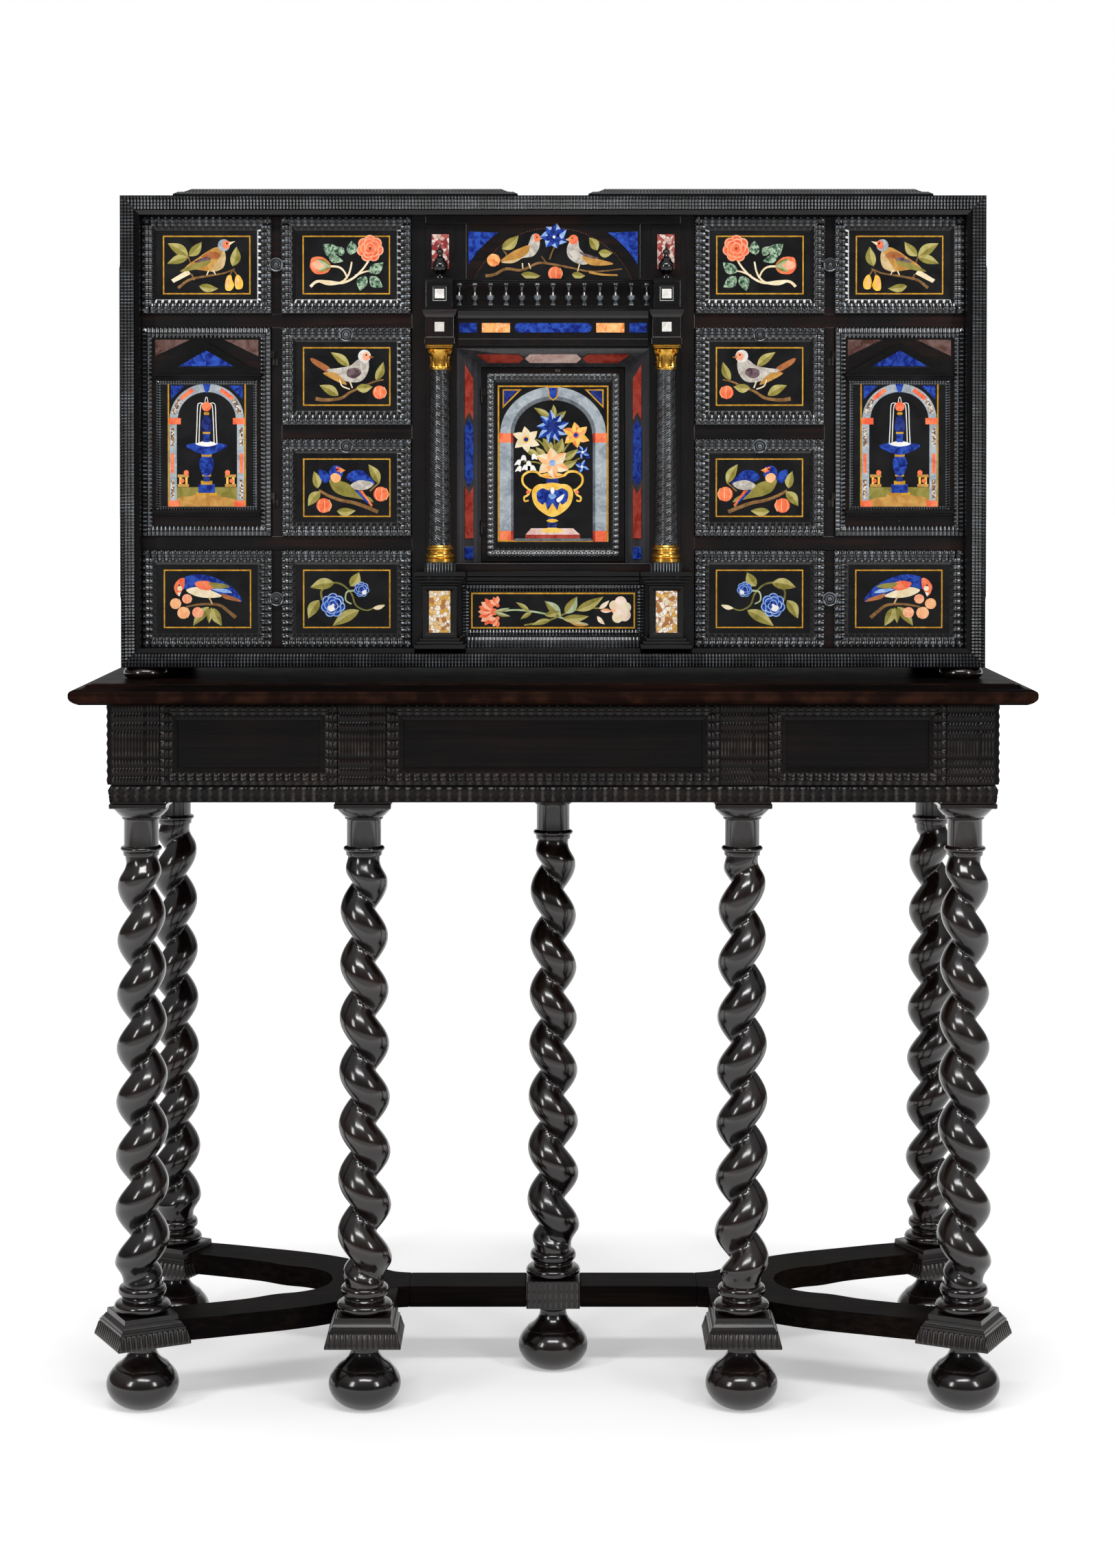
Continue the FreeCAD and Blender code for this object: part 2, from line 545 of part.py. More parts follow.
def leg(x, y, hand, start):
    torus_top = PLINTH_TOP + LOWER_TORUS_HEIGHT
    scotia_top = torus_top + SCOTIA_HEIGHT
    foot = [[(LEG_TENON_RADIUS, PLINTH_TOP - LEG_FOOT_TENON), (LEG_TENON_RADIUS, PLINTH_TOP)],
            [(LEG_TENON_RADIUS, PLINTH_TOP), (SCOTIA_RADIUS, PLINTH_TOP)],
            bead(LOWER_TORUS_RADIUS, SCOTIA_RADIUS, PLINTH_TOP, LOWER_TORUS_HEIGHT),
            [(SCOTIA_RADIUS, torus_top), (SCOTIA_RADIUS, scotia_top)],
            bead(UPPER_TORUS_RADIUS, SCOTIA_RADIUS, scotia_top, UPPER_TORUS_HEIGHT)]
    collar_top = TWIST_TOP + COLLAR_HEIGHT
    astragal_top = collar_top + ASTRAGAL_HEIGHT
    neck_top = astragal_top + NECK_HEIGHT
    head = [[(COLLAR_RADIUS, TWIST_TOP), (COLLAR_RADIUS, collar_top)],
            [(COLLAR_RADIUS, collar_top), (NECK_RADIUS, collar_top)],
            bead(ASTRAGAL_RADIUS, NECK_RADIUS, collar_top, ASTRAGAL_HEIGHT),
            [(NECK_RADIUS, astragal_top), (NECK_RADIUS, neck_top)],
            [(NECK_RADIUS, neck_top), (CAPITAL_RADIUS, LEG_TOP)],
            [(CAPITAL_RADIUS, LEG_TOP), (LEG_TENON_RADIUS, LEG_TOP)],
            [(LEG_TENON_RADIUS, LEG_TOP), (LEG_TENON_RADIUS, BASE_BOTTOM + LEG_TENON_LENGTH)]]
    turning = twist(hand, start).fuse([turned(foot), turned(head)]).Solids[0]
    turning.translate(V(x, y, 0))
    hole = Part.makeCylinder(LEG_TENON_RADIUS + TENON_PLAY, ABACUS_THICK + 2 * OVERRUN,
                             V(x, y, LEG_TOP - OVERRUN))
    abacus = box(about(x, ABACUS_SIDE), about(y, ABACUS_SIDE), (LEG_TOP, BASE_BOTTOM)).cut(hole)
    return [turning, abacus]


def plinth(name, x, y, inner):
    side = MIDDLE_PLINTH_SIDE if name == "middle" else PLINTH_TOP_SIDE
    spread = 0 if name == "middle" else (PLINTH_FOOT_SIDE - PLINTH_TOP_SIDE) / 2
    levels = [(-spread * share, height * PLINTH_HEIGHT) for share, height in PLINTH_SHARES]
    if name == "middle":
        levels = [levels[0], levels[-1]]
    solid = plate(V(-side / 2, -side / 2, PLINTH_BOTTOM), RIGHT, BACK, UP, side, side, levels)
    if not inner and name != "middle":
        solid.rotate(V(0, 0, 0), UP, PLINTH_TURN * math.copysign(1, x * y))
    solid.translate(V(x, y, 0))
    radius = LEG_TENON_RADIUS + TENON_PLAY
    bores = [(PLINTH_TOP - LEG_FOOT_TENON, LEG_FOOT_TENON), (PLINTH_BOTTOM - OVERRUN, BUN_TENON)]
    for bottom, length in bores:
        solid = solid.cut(Part.makeCylinder(radius, length + OVERRUN, V(x, y, bottom)))
    return solid


def bun_foot(x, y):
    neck_top = PLINTH_BOTTOM - FOOT_COLLAR_HEIGHT
    ball = scaled(FOOT_SHARES, FOOT_RADIUS, FOOT_BALL_HEIGHT)
    tenon_top = PLINTH_BOTTOM + BUN_TENON
    runs = [ball] + straight([ball[-1], (FOOT_NECK_RADIUS, FOOT_BALL_HEIGHT), (FOOT_NECK_RADIUS, neck_top),
                              (FOOT_COLLAR_RADIUS, neck_top), (FOOT_COLLAR_RADIUS, PLINTH_BOTTOM),
                              (LEG_TENON_RADIUS, PLINTH_BOTTOM), (LEG_TENON_RADIUS, tenon_top)])
    return turned(runs, V(x, y, 0))


def spline(points):
    curve = Part.BSplineCurve()
    curve.interpolate(points)
    return curve.toShape()


def flat_board(edges):
    face = Part.Face(Part.Wire(edges))
    return face.extrude(UP * STRETCHER_THICK)


def largest(shape):
    return max(shape.Solids, key=lambda solid: solid.Volume)


def stretcher(side, plinths):
    """Forked stretcher of one end: hub, two arms and the stub to the inner front leg."""
    z = STRETCHER_BOTTOM
    inner_half = BAR_WIDTH / 2
    outer_half = FORK_RADIUS + ARM_WIDTH
    run = HUB_OUTER_X - HUB_INNER_X
    rise = outer_half - inner_half
    edge = [(HUB_INNER_X + share * run, inner_half + height * rise) for share, height in HUB_EDGE_SHARES]
    edge = [(HUB_OUTER_X, outer_half)] + edge + [(HUB_INNER_X, inner_half)]
    front = [V(side * x, -y, z) for x, y in edge]
    back = [V(side * x, y, z) for x, y in reversed(edge)]
    hub = flat_board([spline(front), Part.makeLine(front[-1], back[0]), spline(back),
                      Part.makeLine(back[-1], front[0])])
    fork = Part.makeCylinder(FORK_RADIUS, STRETCHER_THICK + 2 * OVERRUN,
                             V(side * HUB_OUTER_X, 0, z - OVERRUN))
    hub = hub.cut(fork)
    arms = []
    start_y = FORK_RADIUS + ARM_WIDTH / 2
    middle = [(HUB_OUTER_X, start_y)]
    for a, b in ARM_SHARES:
        middle.append((HUB_OUTER_X + a * (LEG_X - HUB_OUTER_X), start_y + b * (LEG_Y - start_y)))
    middle.append((LEG_X, LEG_Y))
    for face in SIDES:
        outer = []
        inner = []
        for i, (px, py) in enumerate(middle):
            ax, ay = middle[max(0, i - 1)]
            bx, by = middle[min(len(middle) - 1, i + 1)]
            across = V(-(by - ay), bx - ax, 0).normalize() * (ARM_WIDTH / 2)
            if i == 0:
                across = V(0, ARM_WIDTH / 2, 0)
            outer.append(V(side * (px + across.x), face * (py + across.y), z))
            inner.append(V(side * (px - across.x), face * (py - across.y), z))
        arm = flat_board([spline(outer), Part.makeLine(outer[-1], inner[-1]), spline(inner[::-1]),
                          Part.makeLine(inner[0], outer[0])])
        arms.append(largest(arm.cut(plinths)))
    stub_front = PLINTH_TOP_SIDE / 2 - LEG_Y
    stub = box(about(side * INNER_LEG_SPAN / 2, STUB_WIDTH), (stub_front, -inner_half), (z, STRETCHER_TOP))
    return [hub] + arms + [largest(stub.cut(plinths).cut(hub))]


def stretcher_bars():
    y = (-BAR_WIDTH / 2, BAR_WIDTH / 2)
    z = (STRETCHER_BOTTOM, STRETCHER_TOP)
    return [box(mirrored(side, MIDDLE_PLINTH_SIDE / 2, HUB_INNER_X), y, z) for side in SIDES]


# Case
def case_feet():
    solids = []
    for x in SIDES:
        for y in (CASE_FRONT + CASE_FOOT_RADIUS, CASE_BACK - CASE_FOOT_RADIUS):
            profile = scaled(CASE_FOOT_SHARES, CASE_FOOT_RADIUS, CASE_FOOT_HEIGHT)
            solids.append(turned([profile], V(x * (CASE_WIDTH / 2 - CASE_FOOT_RADIUS), y, STAND_HEIGHT)))
    return solids


def raised_panels():
    solids = []
    levels = scaled(RAISED_SHARES, RAISED_BEVEL, RAISED_REACH)
    width = (CASE_WIDTH - TOP_PANEL_GAP) / 2 - TOP_PANEL_MARGIN
    depth = CASE_DEPTH - 2 * TOP_PANEL_FRONT_MARGIN
    front = CASE_FRONT + TOP_PANEL_FRONT_MARGIN
    for left in (-TOP_PANEL_GAP / 2 - width, TOP_PANEL_GAP / 2):
        solids.append(plate(V(left, front, CASE_TOP), RIGHT, BACK, UP, width, depth, levels))
    levels = scaled(RAISED_SHARES, RAISED_BEVEL, SIDE_PANEL_REACH)
    height = CASE_HEIGHT - 2 * SIDE_PANEL_MARGIN
    depth = CASE_DEPTH - 2 * SIDE_PANEL_FRONT_MARGIN
    for side in SIDES:
        corner = V(side * CASE_WIDTH / 2, CASE_FRONT + SIDE_PANEL_FRONT_MARGIN,
                   CASE_BOTTOM + SIDE_PANEL_MARGIN)
        solids.append(plate(corner, BACK, UP, RIGHT * side, depth, height, levels))
    return solids


def partitions():
    y = (FACE, INNER_BACK)
    solids = []
    for side in SIDES:
        solids.append(box(mirrored(side, CENTRE_HALF, BANK_X), y, (INNER_BOTTOM, INNER_TOP)))
        divider_z = (row_bottom(1), row_bottom(2) + ROW_HEIGHT)
        solids.append(box(mirrored(side, DIVIDER_X, DOOR_X), y, divider_z))
    return solids


def shelves():
    y = (FACE, INNER_BACK)
    solids = []
    for side in SIDES:
        for row, outer in ((1, INNER_X), (2, DIVIDER_X), (3, INNER_X)):
            z = (row_bottom(row) - SHELF_THICK, row_bottom(row))
            solids.append(box(mirrored(side, BANK_X, outer), y, z))
    return solids


def centre_boards():
    """Floor, sill and ceiling of the middle bay and the guides of its low drawer."""
    x = (-CENTRE_HALF, CENTRE_HALF)
    y = (FACE, INNER_BACK)
    solids = [box(x, y, (INNER_BOTTOM, DRAWER_ROW_BOTTOM)), box(x, y, (SILL_BOTTOM, SILL_TOP)),
              box(x, (FACE + WALL_THICK, INNER_BACK), (REVEAL_TOP, REVEAL_TOP + CEILING_THICK))]
    for side in SIDES:
        guide = mirrored(side, CENTRE_DRAWER_HALF, CENTRE_DRAWER_HALF + GUIDE_THICK)
        solids.append(box(guide, (FACE + WALL_THICK, INNER_BACK), (DRAWER_ROW_BOTTOM, SILL_BOTTOM)))
    return solids


def centre_walls():
    """Stiles beside the low drawer and the niche, and the attic wall."""
    y = (FACE, FACE + WALL_THICK)
    solids = [box((-CENTRE_HALF, CENTRE_HALF), y, (REVEAL_TOP, INNER_TOP))]
    for side in SIDES:
        stile = mirrored(side, CENTRE_DRAWER_HALF, CENTRE_HALF)
        solids.append(box(stile, y, (DRAWER_ROW_BOTTOM, SILL_BOTTOM)))
        solids.append(box(mirrored(side, REVEAL_HALF, CENTRE_HALF), y, (SILL_TOP, REVEAL_TOP)))
    return solids


def reveals():
    """Splayed boards round the niche, mitred at the upper corners; their back part is the door's stop."""
    jamb_back = NICHE_FACE + DOOR_THICK
    solids = []
    profile = [(0, FACE), (REVEAL_SPLAY, NICHE_FACE), (REVEAL_SPLAY, jamb_back), (0, jamb_back)]
    drop = REVEAL_DROP / REVEAL_SPLAY
    for side in SIDES:
        low = [V(side * (REVEAL_HALF - inset), y, SILL_TOP) for inset, y in profile]
        high = [V(side * (REVEAL_HALF - inset), y, REVEAL_TOP - inset * drop) for inset, y in profile]
        solids.append(ring_solid([low, high]))
    ends = []
    for side in SIDES:
        ends.append([V(side * (REVEAL_HALF - inset), y, REVEAL_TOP - inset * drop) for inset, y in profile])
    solids.append(ring_solid(ends))
    return solids


def pedestals():
    """Base, die and cap of the two column pedestals, and the sill and base mouldings between them."""
    solids = []
    inner = COLUMN_X - PEDESTAL_WIDTH / 2 - CAP_OVERHANG
    cap_depth = PEDESTAL_DEPTH + CAP_FRONT_OVERHANG
    for side in SIDES:
        x = about(side * COLUMN_X, PEDESTAL_WIDTH)
        wide = about(side * COLUMN_X, PEDESTAL_WIDTH + 2 * CAP_OVERHANG)
        solids.append(box(x, (FACE - PEDESTAL_DEPTH, FACE), (DRAWER_ROW_BOTTOM, SILL_BOTTOM)))
        solids.append(box(wide, (FACE - cap_depth, FACE), (SILL_BOTTOM, PEDESTAL_TOP)))
        solids.append(box(wide, (FACE - cap_depth, FACE), (INNER_BOTTOM, DRAWER_ROW_BOTTOM)))
        solids.append(box(about(side * COLUMN_X, COLUMN_BLOCK_SIDE), about(COLUMN_Y, COLUMN_BLOCK_SIDE),
                          (PEDESTAL_TOP, PEDESTAL_TOP + COLUMN_BLOCK_HEIGHT)))
    reach = (FACE - ENTABLATURE_REACH, FACE)
    solids.append(box((-inner, inner), reach, (SILL_BOTTOM, PEDESTAL_TOP)))
    solids.append(box((-inner, inner), reach, (INNER_BOTTOM, DRAWER_ROW_BOTTOM)))
    return solids


def column_shafts():
    bottom = PEDESTAL_TOP + COLUMN_BLOCK_HEIGHT + GILT_BASE_HEIGHT
    top = ENTABLATURE_BOTTOM - CAPITAL_MOUNT_HEIGHT
    profile = [[(SHAFT_FOOT_RADIUS, bottom), (SHAFT_TOP_RADIUS, top)]]
    return [turned(profile, V(side * COLUMN_X, COLUMN_Y, 0)) for side in SIDES]


def column_mounts():
    solids = []
    base = scaled(GILT_BASE_SHARES, GILT_BASE_RADIUS, GILT_BASE_HEIGHT)
    capital = scaled(CAPITAL_MOUNT_SHARES, CAPITAL_MOUNT_RADIUS, CAPITAL_MOUNT_HEIGHT)
    base_bottom = PEDESTAL_TOP + COLUMN_BLOCK_HEIGHT
    for side in SIDES:
        solids.append(turned(straight(base), V(side * COLUMN_X, COLUMN_Y, base_bottom)))
        solids.append(turned(straight(capital),
                             V(side * COLUMN_X, COLUMN_Y, ENTABLATURE_BOTTOM - CAPITAL_MOUNT_HEIGHT)))
    return solids


def entablature():
    """Frieze between the columns and a block over each column, with their cornices."""
    solids = []
    spans = [(about(side * COLUMN_X, PIER_WIDTH), PIER_DEPTH) for side in SIDES]
    inner = ENTABLATURE_HALF - CORNICE_OVERHANG
    spans.append(((-inner, inner), ENTABLATURE_REACH))
    for x, depth in spans:
        rings = []
        for share, height in ENTABLATURE_SHARES:
            out = share * CORNICE_OVERHANG
            side_out = out if depth == PIER_DEPTH else 0
            z = ENTABLATURE_BOTTOM + height * ENTABLATURE_HEIGHT
            left = x[0] - side_out
            right = x[1] + side_out
            front = FACE - depth - out
            rings.append([V(left, FACE, z), V(right, FACE, z), V(right, front, z), V(left, front, z)])
        solids.append(ring_solid(rings))
    return solids


def balustrade():
    solids = []
    x = (-ENTABLATURE_HALF, ENTABLATURE_HALF)
    y = about(COLUMN_Y, RAIL_DEPTH)
    low_rail = (ENTABLATURE_TOP, ENTABLATURE_TOP + RAIL_HEIGHT)
    solids.append(box(x, y, low_rail))
    solids.append(box(x, y, (BALUSTRADE_TOP - RAIL_HEIGHT, BALUSTRADE_TOP)))
    solids.append(box(x, (FACE - ENTABLATURE_REACH, COLUMN_Y + RAIL_DEPTH / 2), low_rail))
    height = BALUSTRADE_HEIGHT - 2 * RAIL_HEIGHT
    profile = scaled(BALUSTER_SHARES, BALUSTER_RADIUS, height)
    end = ENTABLATURE_HALF - BALUSTER_MARGIN
    for i in range(BALUSTERS):
        place = V(-end + 2 * end * i / (BALUSTERS - 1), COLUMN_Y, ENTABLATURE_TOP + RAIL_HEIGHT)
        solids.append(turned(straight(profile), place))
    finial = scaled(FINIAL_SHARES, FINIAL_RADIUS, FINIAL_HEIGHT)
    for side in SIDES:
        solids.append(box(about(side * COLUMN_X, PIER_WIDTH), (FACE - PIER_DEPTH, FACE),
                          (ENTABLATURE_TOP, BALUSTRADE_TOP)))
        solids.append(turned(straight(finial), V(side * COLUMN_X, COLUMN_Y, BALUSTRADE_TOP)))
    return solids


def attic():
    """Lunette board, upper pilasters and the cornice under the case top."""
    solids = [box((-LUNETTE_HALF, LUNETTE_HALF), (FACE - LUNETTE_REACH, FACE),
                  (ENTABLATURE_TOP + RAIL_HEIGHT, ATTIC_CORNICE_BOTTOM))]
    solids.append(box((-CENTRE_HALF, CENTRE_HALF), (FACE - ATTIC_CORNICE_REACH, FACE),
                      (ATTIC_CORNICE_BOTTOM, INNER_TOP)))
    for side in SIDES:
        solids.append(box(mirrored(side, ENTABLATURE_HALF, CENTRE_HALF),
                          (FACE - UPPER_PILASTER_REACH, FACE), (BALUSTRADE_TOP, ATTIC_CORNICE_BOTTOM)))
    return solids


def front_slab(x, z, y):
    return box(x, (y - STONE_REACH, y), z)


def centre_stones():
    solids = []
    lunette = FACE - LUNETTE_REACH
    half = LUNETTE_HALF - LUNETTE_MARGIN
    radius = (half ** 2 + LUNETTE_RISE ** 2) / (2 * LUNETTE_RISE)
    arch_top = BALUSTRADE_TOP + LUNETTE_RISE
    disc = Part.makeCylinder(radius, STONE_REACH, V(0, lunette, arch_top - radius), -BACK)
    solids.append(disc.common(front_slab((-half, half), (BALUSTRADE_TOP, arch_top), lunette)))
    frieze_middle = ENTABLATURE_BOTTOM + ENTABLATURE_HEIGHT / 2
    inner = ENTABLATURE_HALF - CORNICE_OVERHANG
    for side in SIDES:
        pedestal_x = about(side * COLUMN_X, PEDESTAL_STONE_WIDTH)
        pedestal_z = about((DRAWER_ROW_BOTTOM + SILL_BOTTOM) / 2, PEDESTAL_STONE_HEIGHT)
        solids.append(front_slab(pedestal_x, pedestal_z, FACE - PEDESTAL_DEPTH))
        upper_z = about((BALUSTRADE_TOP + ATTIC_CORNICE_BOTTOM) / 2, UPPER_STONE_HEIGHT)
        upper_x = about(side * COLUMN_X, UPPER_STONE_WIDTH)
        solids.append(front_slab(upper_x, upper_z, FACE - UPPER_PILASTER_REACH))
        for z in (frieze_middle, (ENTABLATURE_TOP + BALUSTRADE_TOP) / 2):
            pearl = front_slab(about(side * COLUMN_X, PEARL_SIDE), about(z, PEARL_SIDE), FACE - PIER_DEPTH)
            solids.append(pearl)
        spandrel = [V(side * half, lunette, arch_top),
                    V(side * half * LUNETTE_RISE / radius, lunette, arch_top),
                    V(side * half, lunette, BALUSTRADE_TOP + LUNETTE_RISE / 2)]
        solids.append(prism(spandrel, -BACK * STONE_REACH).cut(disc))
    stone_z = about(frieze_middle, FRIEZE_STONE_HEIGHT)
    for low, high in FRIEZE_STONE_SHARES:
        spans = [mirrored(side, low * inner, high * inner) for side in SIDES]
        if not low:
            spans = [(-high * inner, high * inner)]
        solids += [front_slab(span, stone_z, FACE - ENTABLATURE_REACH) for span in spans]
    return solids


def reveal_stones():
    """Thin stones let on to the splayed boards of the niche."""
    solids = []
    slope = math.hypot(REVEAL_SPLAY, REVEAL_DEPTH)
    near, far = about(REVEAL_MIDDLE_SHARE, REVEAL_STONE_WIDTH / slope)
    for side in SIDES:
        out = V(-side * REVEAL_DEPTH, -REVEAL_SPLAY, 0).normalize() * STONE_REACH
        for low, high in REVEAL_STONE_SHARES:
            outline = []
            for share, z_share in ((near, low), (far, low), (far, high), (near, high)):
                outline.append(V(side * (REVEAL_HALF - share * REVEAL_SPLAY), FACE + share * REVEAL_DEPTH,
                                 SILL_TOP + z_share * NICHE_HEIGHT))
            solids.append(prism(outline, out))
    near, far = about(REVEAL_MIDDLE_SHARE, REVEAL_STONE_WIDTH / math.hypot(REVEAL_DROP, REVEAL_DEPTH))
    out = V(0, -REVEAL_DROP, -REVEAL_DEPTH).normalize() * STONE_REACH
    for low, high in TOP_REVEAL_STONE_SHARES:
        outline = []
        for share, x_share in ((near, low), (near, high), (far, high), (far, low)):
            outline.append(V(x_share * NICHE_HALF, FACE + share * REVEAL_DEPTH,
                             REVEAL_TOP - share * REVEAL_DROP))
        solids.append(prism(outline, out))
    return solids


# Drawers
def drawer_box(x, z, front):
    """Front board, two sides, back and floor of a drawer in its opening."""
    left = min(x) + FRONT_GAP
    right = max(x) - FRONT_GAP
    bottom = min(z) + RUN_GAP
    top = max(z) - FRONT_GAP
    lining_front = front + FRONT_THICK
    lining_back = lining_front + DRAWER_LENGTH
    side_z = (bottom, top - SIDE_DROP)
    solids = [box((left, right), (front, lining_front), (bottom, top))]
    solids.append(box((left, left + LINING_THICK), (lining_front, lining_back), side_z))
    solids.append(box((right - LINING_THICK, right), (lining_front, lining_back), side_z))
    inside = (left + LINING_THICK, right - LINING_THICK)
    solids.append(box(inside, (lining_back - LINING_THICK, lining_back), side_z))
    solids.append(box(inside, (lining_front, lining_back - LINING_THICK), (bottom, bottom + DRAWER_FLOOR)))
    return solids


def framed_stone(x, z, y, width, reach):
    """Ripple frame on a front, and the stone slab that it holds."""
    inset = width + STONE_PLAY
    stone = box((min(x) + inset, max(x) - inset), (y - STONE_THICK, y), (min(z) + inset, max(z) - inset))
    return front_frame(x, z, y, width, reach), stone


def bank_drawer(side, row, wide):
    x = mirrored(side, BANK_X, INNER_X if wide else DIVIDER_X)
    z = (row_bottom(row), row_bottom(row) + ROW_HEIGHT)
    wood = drawer_box(x, z, FACE)
    front_z = (min(z) + RUN_GAP, max(z) - FRONT_GAP)
    panels = [mirrored(side, BANK_X + FRONT_GAP, DIVIDER_X - (0 if wide else FRONT_GAP))]
    knob_x = side * (BANK_X + DIVIDER_X) / 2
    knob_z = max(front_z) - PANEL_FRAME_WIDTH / 2
    if wide:
        panels.append(mirrored(side, DOOR_X, INNER_X - FRONT_GAP))
        knob_x = side * (DIVIDER_X + DOOR_X) / 2
        knob_z = sum(front_z) / 2
    stones = []
    pull = knob(knob_x, knob_z)
    for panel in panels:
        frame, stone = framed_stone(panel, front_z, FACE, PANEL_FRAME_WIDTH, PANEL_FRAME_REACH)
        wood += [length.cut(pull) for length in frame]
        stones.append(stone)
    return wood + [pull], stones


def centre_drawer():
    x = (-CENTRE_DRAWER_HALF, CENTRE_DRAWER_HALF)
    z = (DRAWER_ROW_BOTTOM, SILL_BOTTOM)
    frame, stone = framed_stone((x[0] + FRONT_GAP, x[1] - FRONT_GAP), (z[0] + RUN_GAP, z[1] - FRONT_GAP),
                                FACE, CENTRE_FRAME_WIDTH, CENTRE_FRAME_REACH)
    return drawer_box(x, z, FACE) + frame, [stone]


# Doors
def side_door(side):
    """Door with a small temple front, hinged on the divider; gives wood, stones and fixed hinge parts."""
    outer = INNER_X - FRONT_GAP
    inner = DOOR_X + FRONT_GAP
    bottom = row_bottom(1) + FRONT_GAP
    top = row_bottom(2) + ROW_HEIGHT - FRONT_GAP
    x = mirrored(side, inner, outer)
    wood = [box(x, (FACE, FACE + DOOR_THICK), (bottom, top))]
    wood += front_frame(x, (bottom, top), FACE, DOOR_FRAME_WIDTH, DOOR_FRAME_REACH)
    middle = side * (inner + outer) / 2
    half = (outer - inner) / 2 - DOOR_FRAME_WIDTH
    apex = top - DOOR_FRAME_WIDTH - PEDIMENT_DROP
    eaves = apex - PEDIMENT_HEIGHT
    gable = [V(middle - half, FACE, eaves), V(middle + half, FACE, eaves), V(middle, FACE, apex)]
    wood.append(prism(gable, -BACK * TEMPLE_REACH))
    span = (middle - half, middle + half)
    depth = (FACE - TEMPLE_REACH, FACE)
    cornice_bottom = eaves - CORNICE_HEIGHT
    wood.append(box(span, depth, (cornice_bottom, eaves)))
    sill_bottom = bottom + DOOR_FRAME_WIDTH + TEMPLE_FOOT_MARGIN
    sill_top = sill_bottom + TEMPLE_SILL_HEIGHT
    wood.append(box(span, depth, (sill_bottom, sill_top)))
    frame, slab = framed_stone((span[0] + TEMPLE_MARGIN, span[1] - TEMPLE_MARGIN), (sill_top, cornice_bottom),
                               FACE, TEMPLE_FRAME_WIDTH, TEMPLE_FRAME_REACH)
    wood += frame
    rise = PEDIMENT_HEIGHT * (1 - TYMPANUM_SHARE) / 2
    tympanum = [V(middle + share * half * TYMPANUM_SHARE, FACE - TEMPLE_REACH, eaves + height)
                for share, height in ((-1, rise), (1, rise), (0, rise + PEDIMENT_HEIGHT * TYMPANUM_SHARE))]
    stones = [slab, prism(tympanum, -BACK * STONE_REACH)]
    axis_x = side * (DOOR_X - KNUCKLE_RADIUS - SIDE_KNUCKLE_CLEAR)
    axis_y = FACE - KNUCKLE_RADIUS - SIDE_KNUCKLE_STAND
    fixed_leaf = ((axis_x, axis_x - side * LEAF_WIDTH), (axis_y + PIN_RADIUS, FACE))
    moving_leaf = ((axis_x, side * inner), about(axis_y, LEAF_THICK))
    pins = []
    for share in HINGE_SHARES:
        z = bottom + share * (top - bottom)
        fixed, moving = knuckle_pair(axis_x, axis_y, z, fixed_leaf, moving_leaf)
        pins.append(fixed)
        wood.append(moving)
    return wood, stones, pins


def niche_door():
    left = -NICHE_HALF + FRONT_GAP
    z = (SILL_TOP + FRONT_GAP, NICHE_TOP - FRONT_GAP)
    wood = [box((left, -left), (NICHE_FACE, NICHE_FACE + DOOR_THICK), z)]
    frame_left = left + NICHE_MARGIN
    frame, slab = framed_stone((frame_left, -frame_left), (z[0] + NICHE_MARGIN, z[1] - NICHE_MARGIN),
                               NICHE_FACE, NICHE_FRAME_WIDTH, NICHE_FRAME_REACH)
    wood += frame
    axis_x = -NICHE_HALF + NICHE_AXIS_OFFSET
    axis_y = NICHE_FACE - KNUCKLE_RADIUS - NICHE_KNUCKLE_STAND
    fixed_leaf = ((axis_x - LEAF_WIDTH, axis_x), about(axis_y, LEAF_THICK))
    moving_leaf = ((axis_x, left + LEAF_WIDTH), (NICHE_FACE - LEAF_THICK, NICHE_FACE))
    jamb = reveals()[0]
    pins = []
    for share in HINGE_SHARES:
        height = z[0] + share * (z[1] - z[0])
        fixed, moving = knuckle_pair(axis_x, axis_y, height, fixed_leaf, moving_leaf)
        pins.append(fixed.cut(jamb))
        wood.append(moving)
    return wood, [slab], pins


def save(name, solids):
    Part.makeCompound(solids).exportStep("parts/" + name + ".step")
    bad = sum(1 for solid in solids if not solid.isValid() or solid.Volume <= 0)
    print(name, len(solids), "solids", "" if not bad else "BAD %d" % bad)


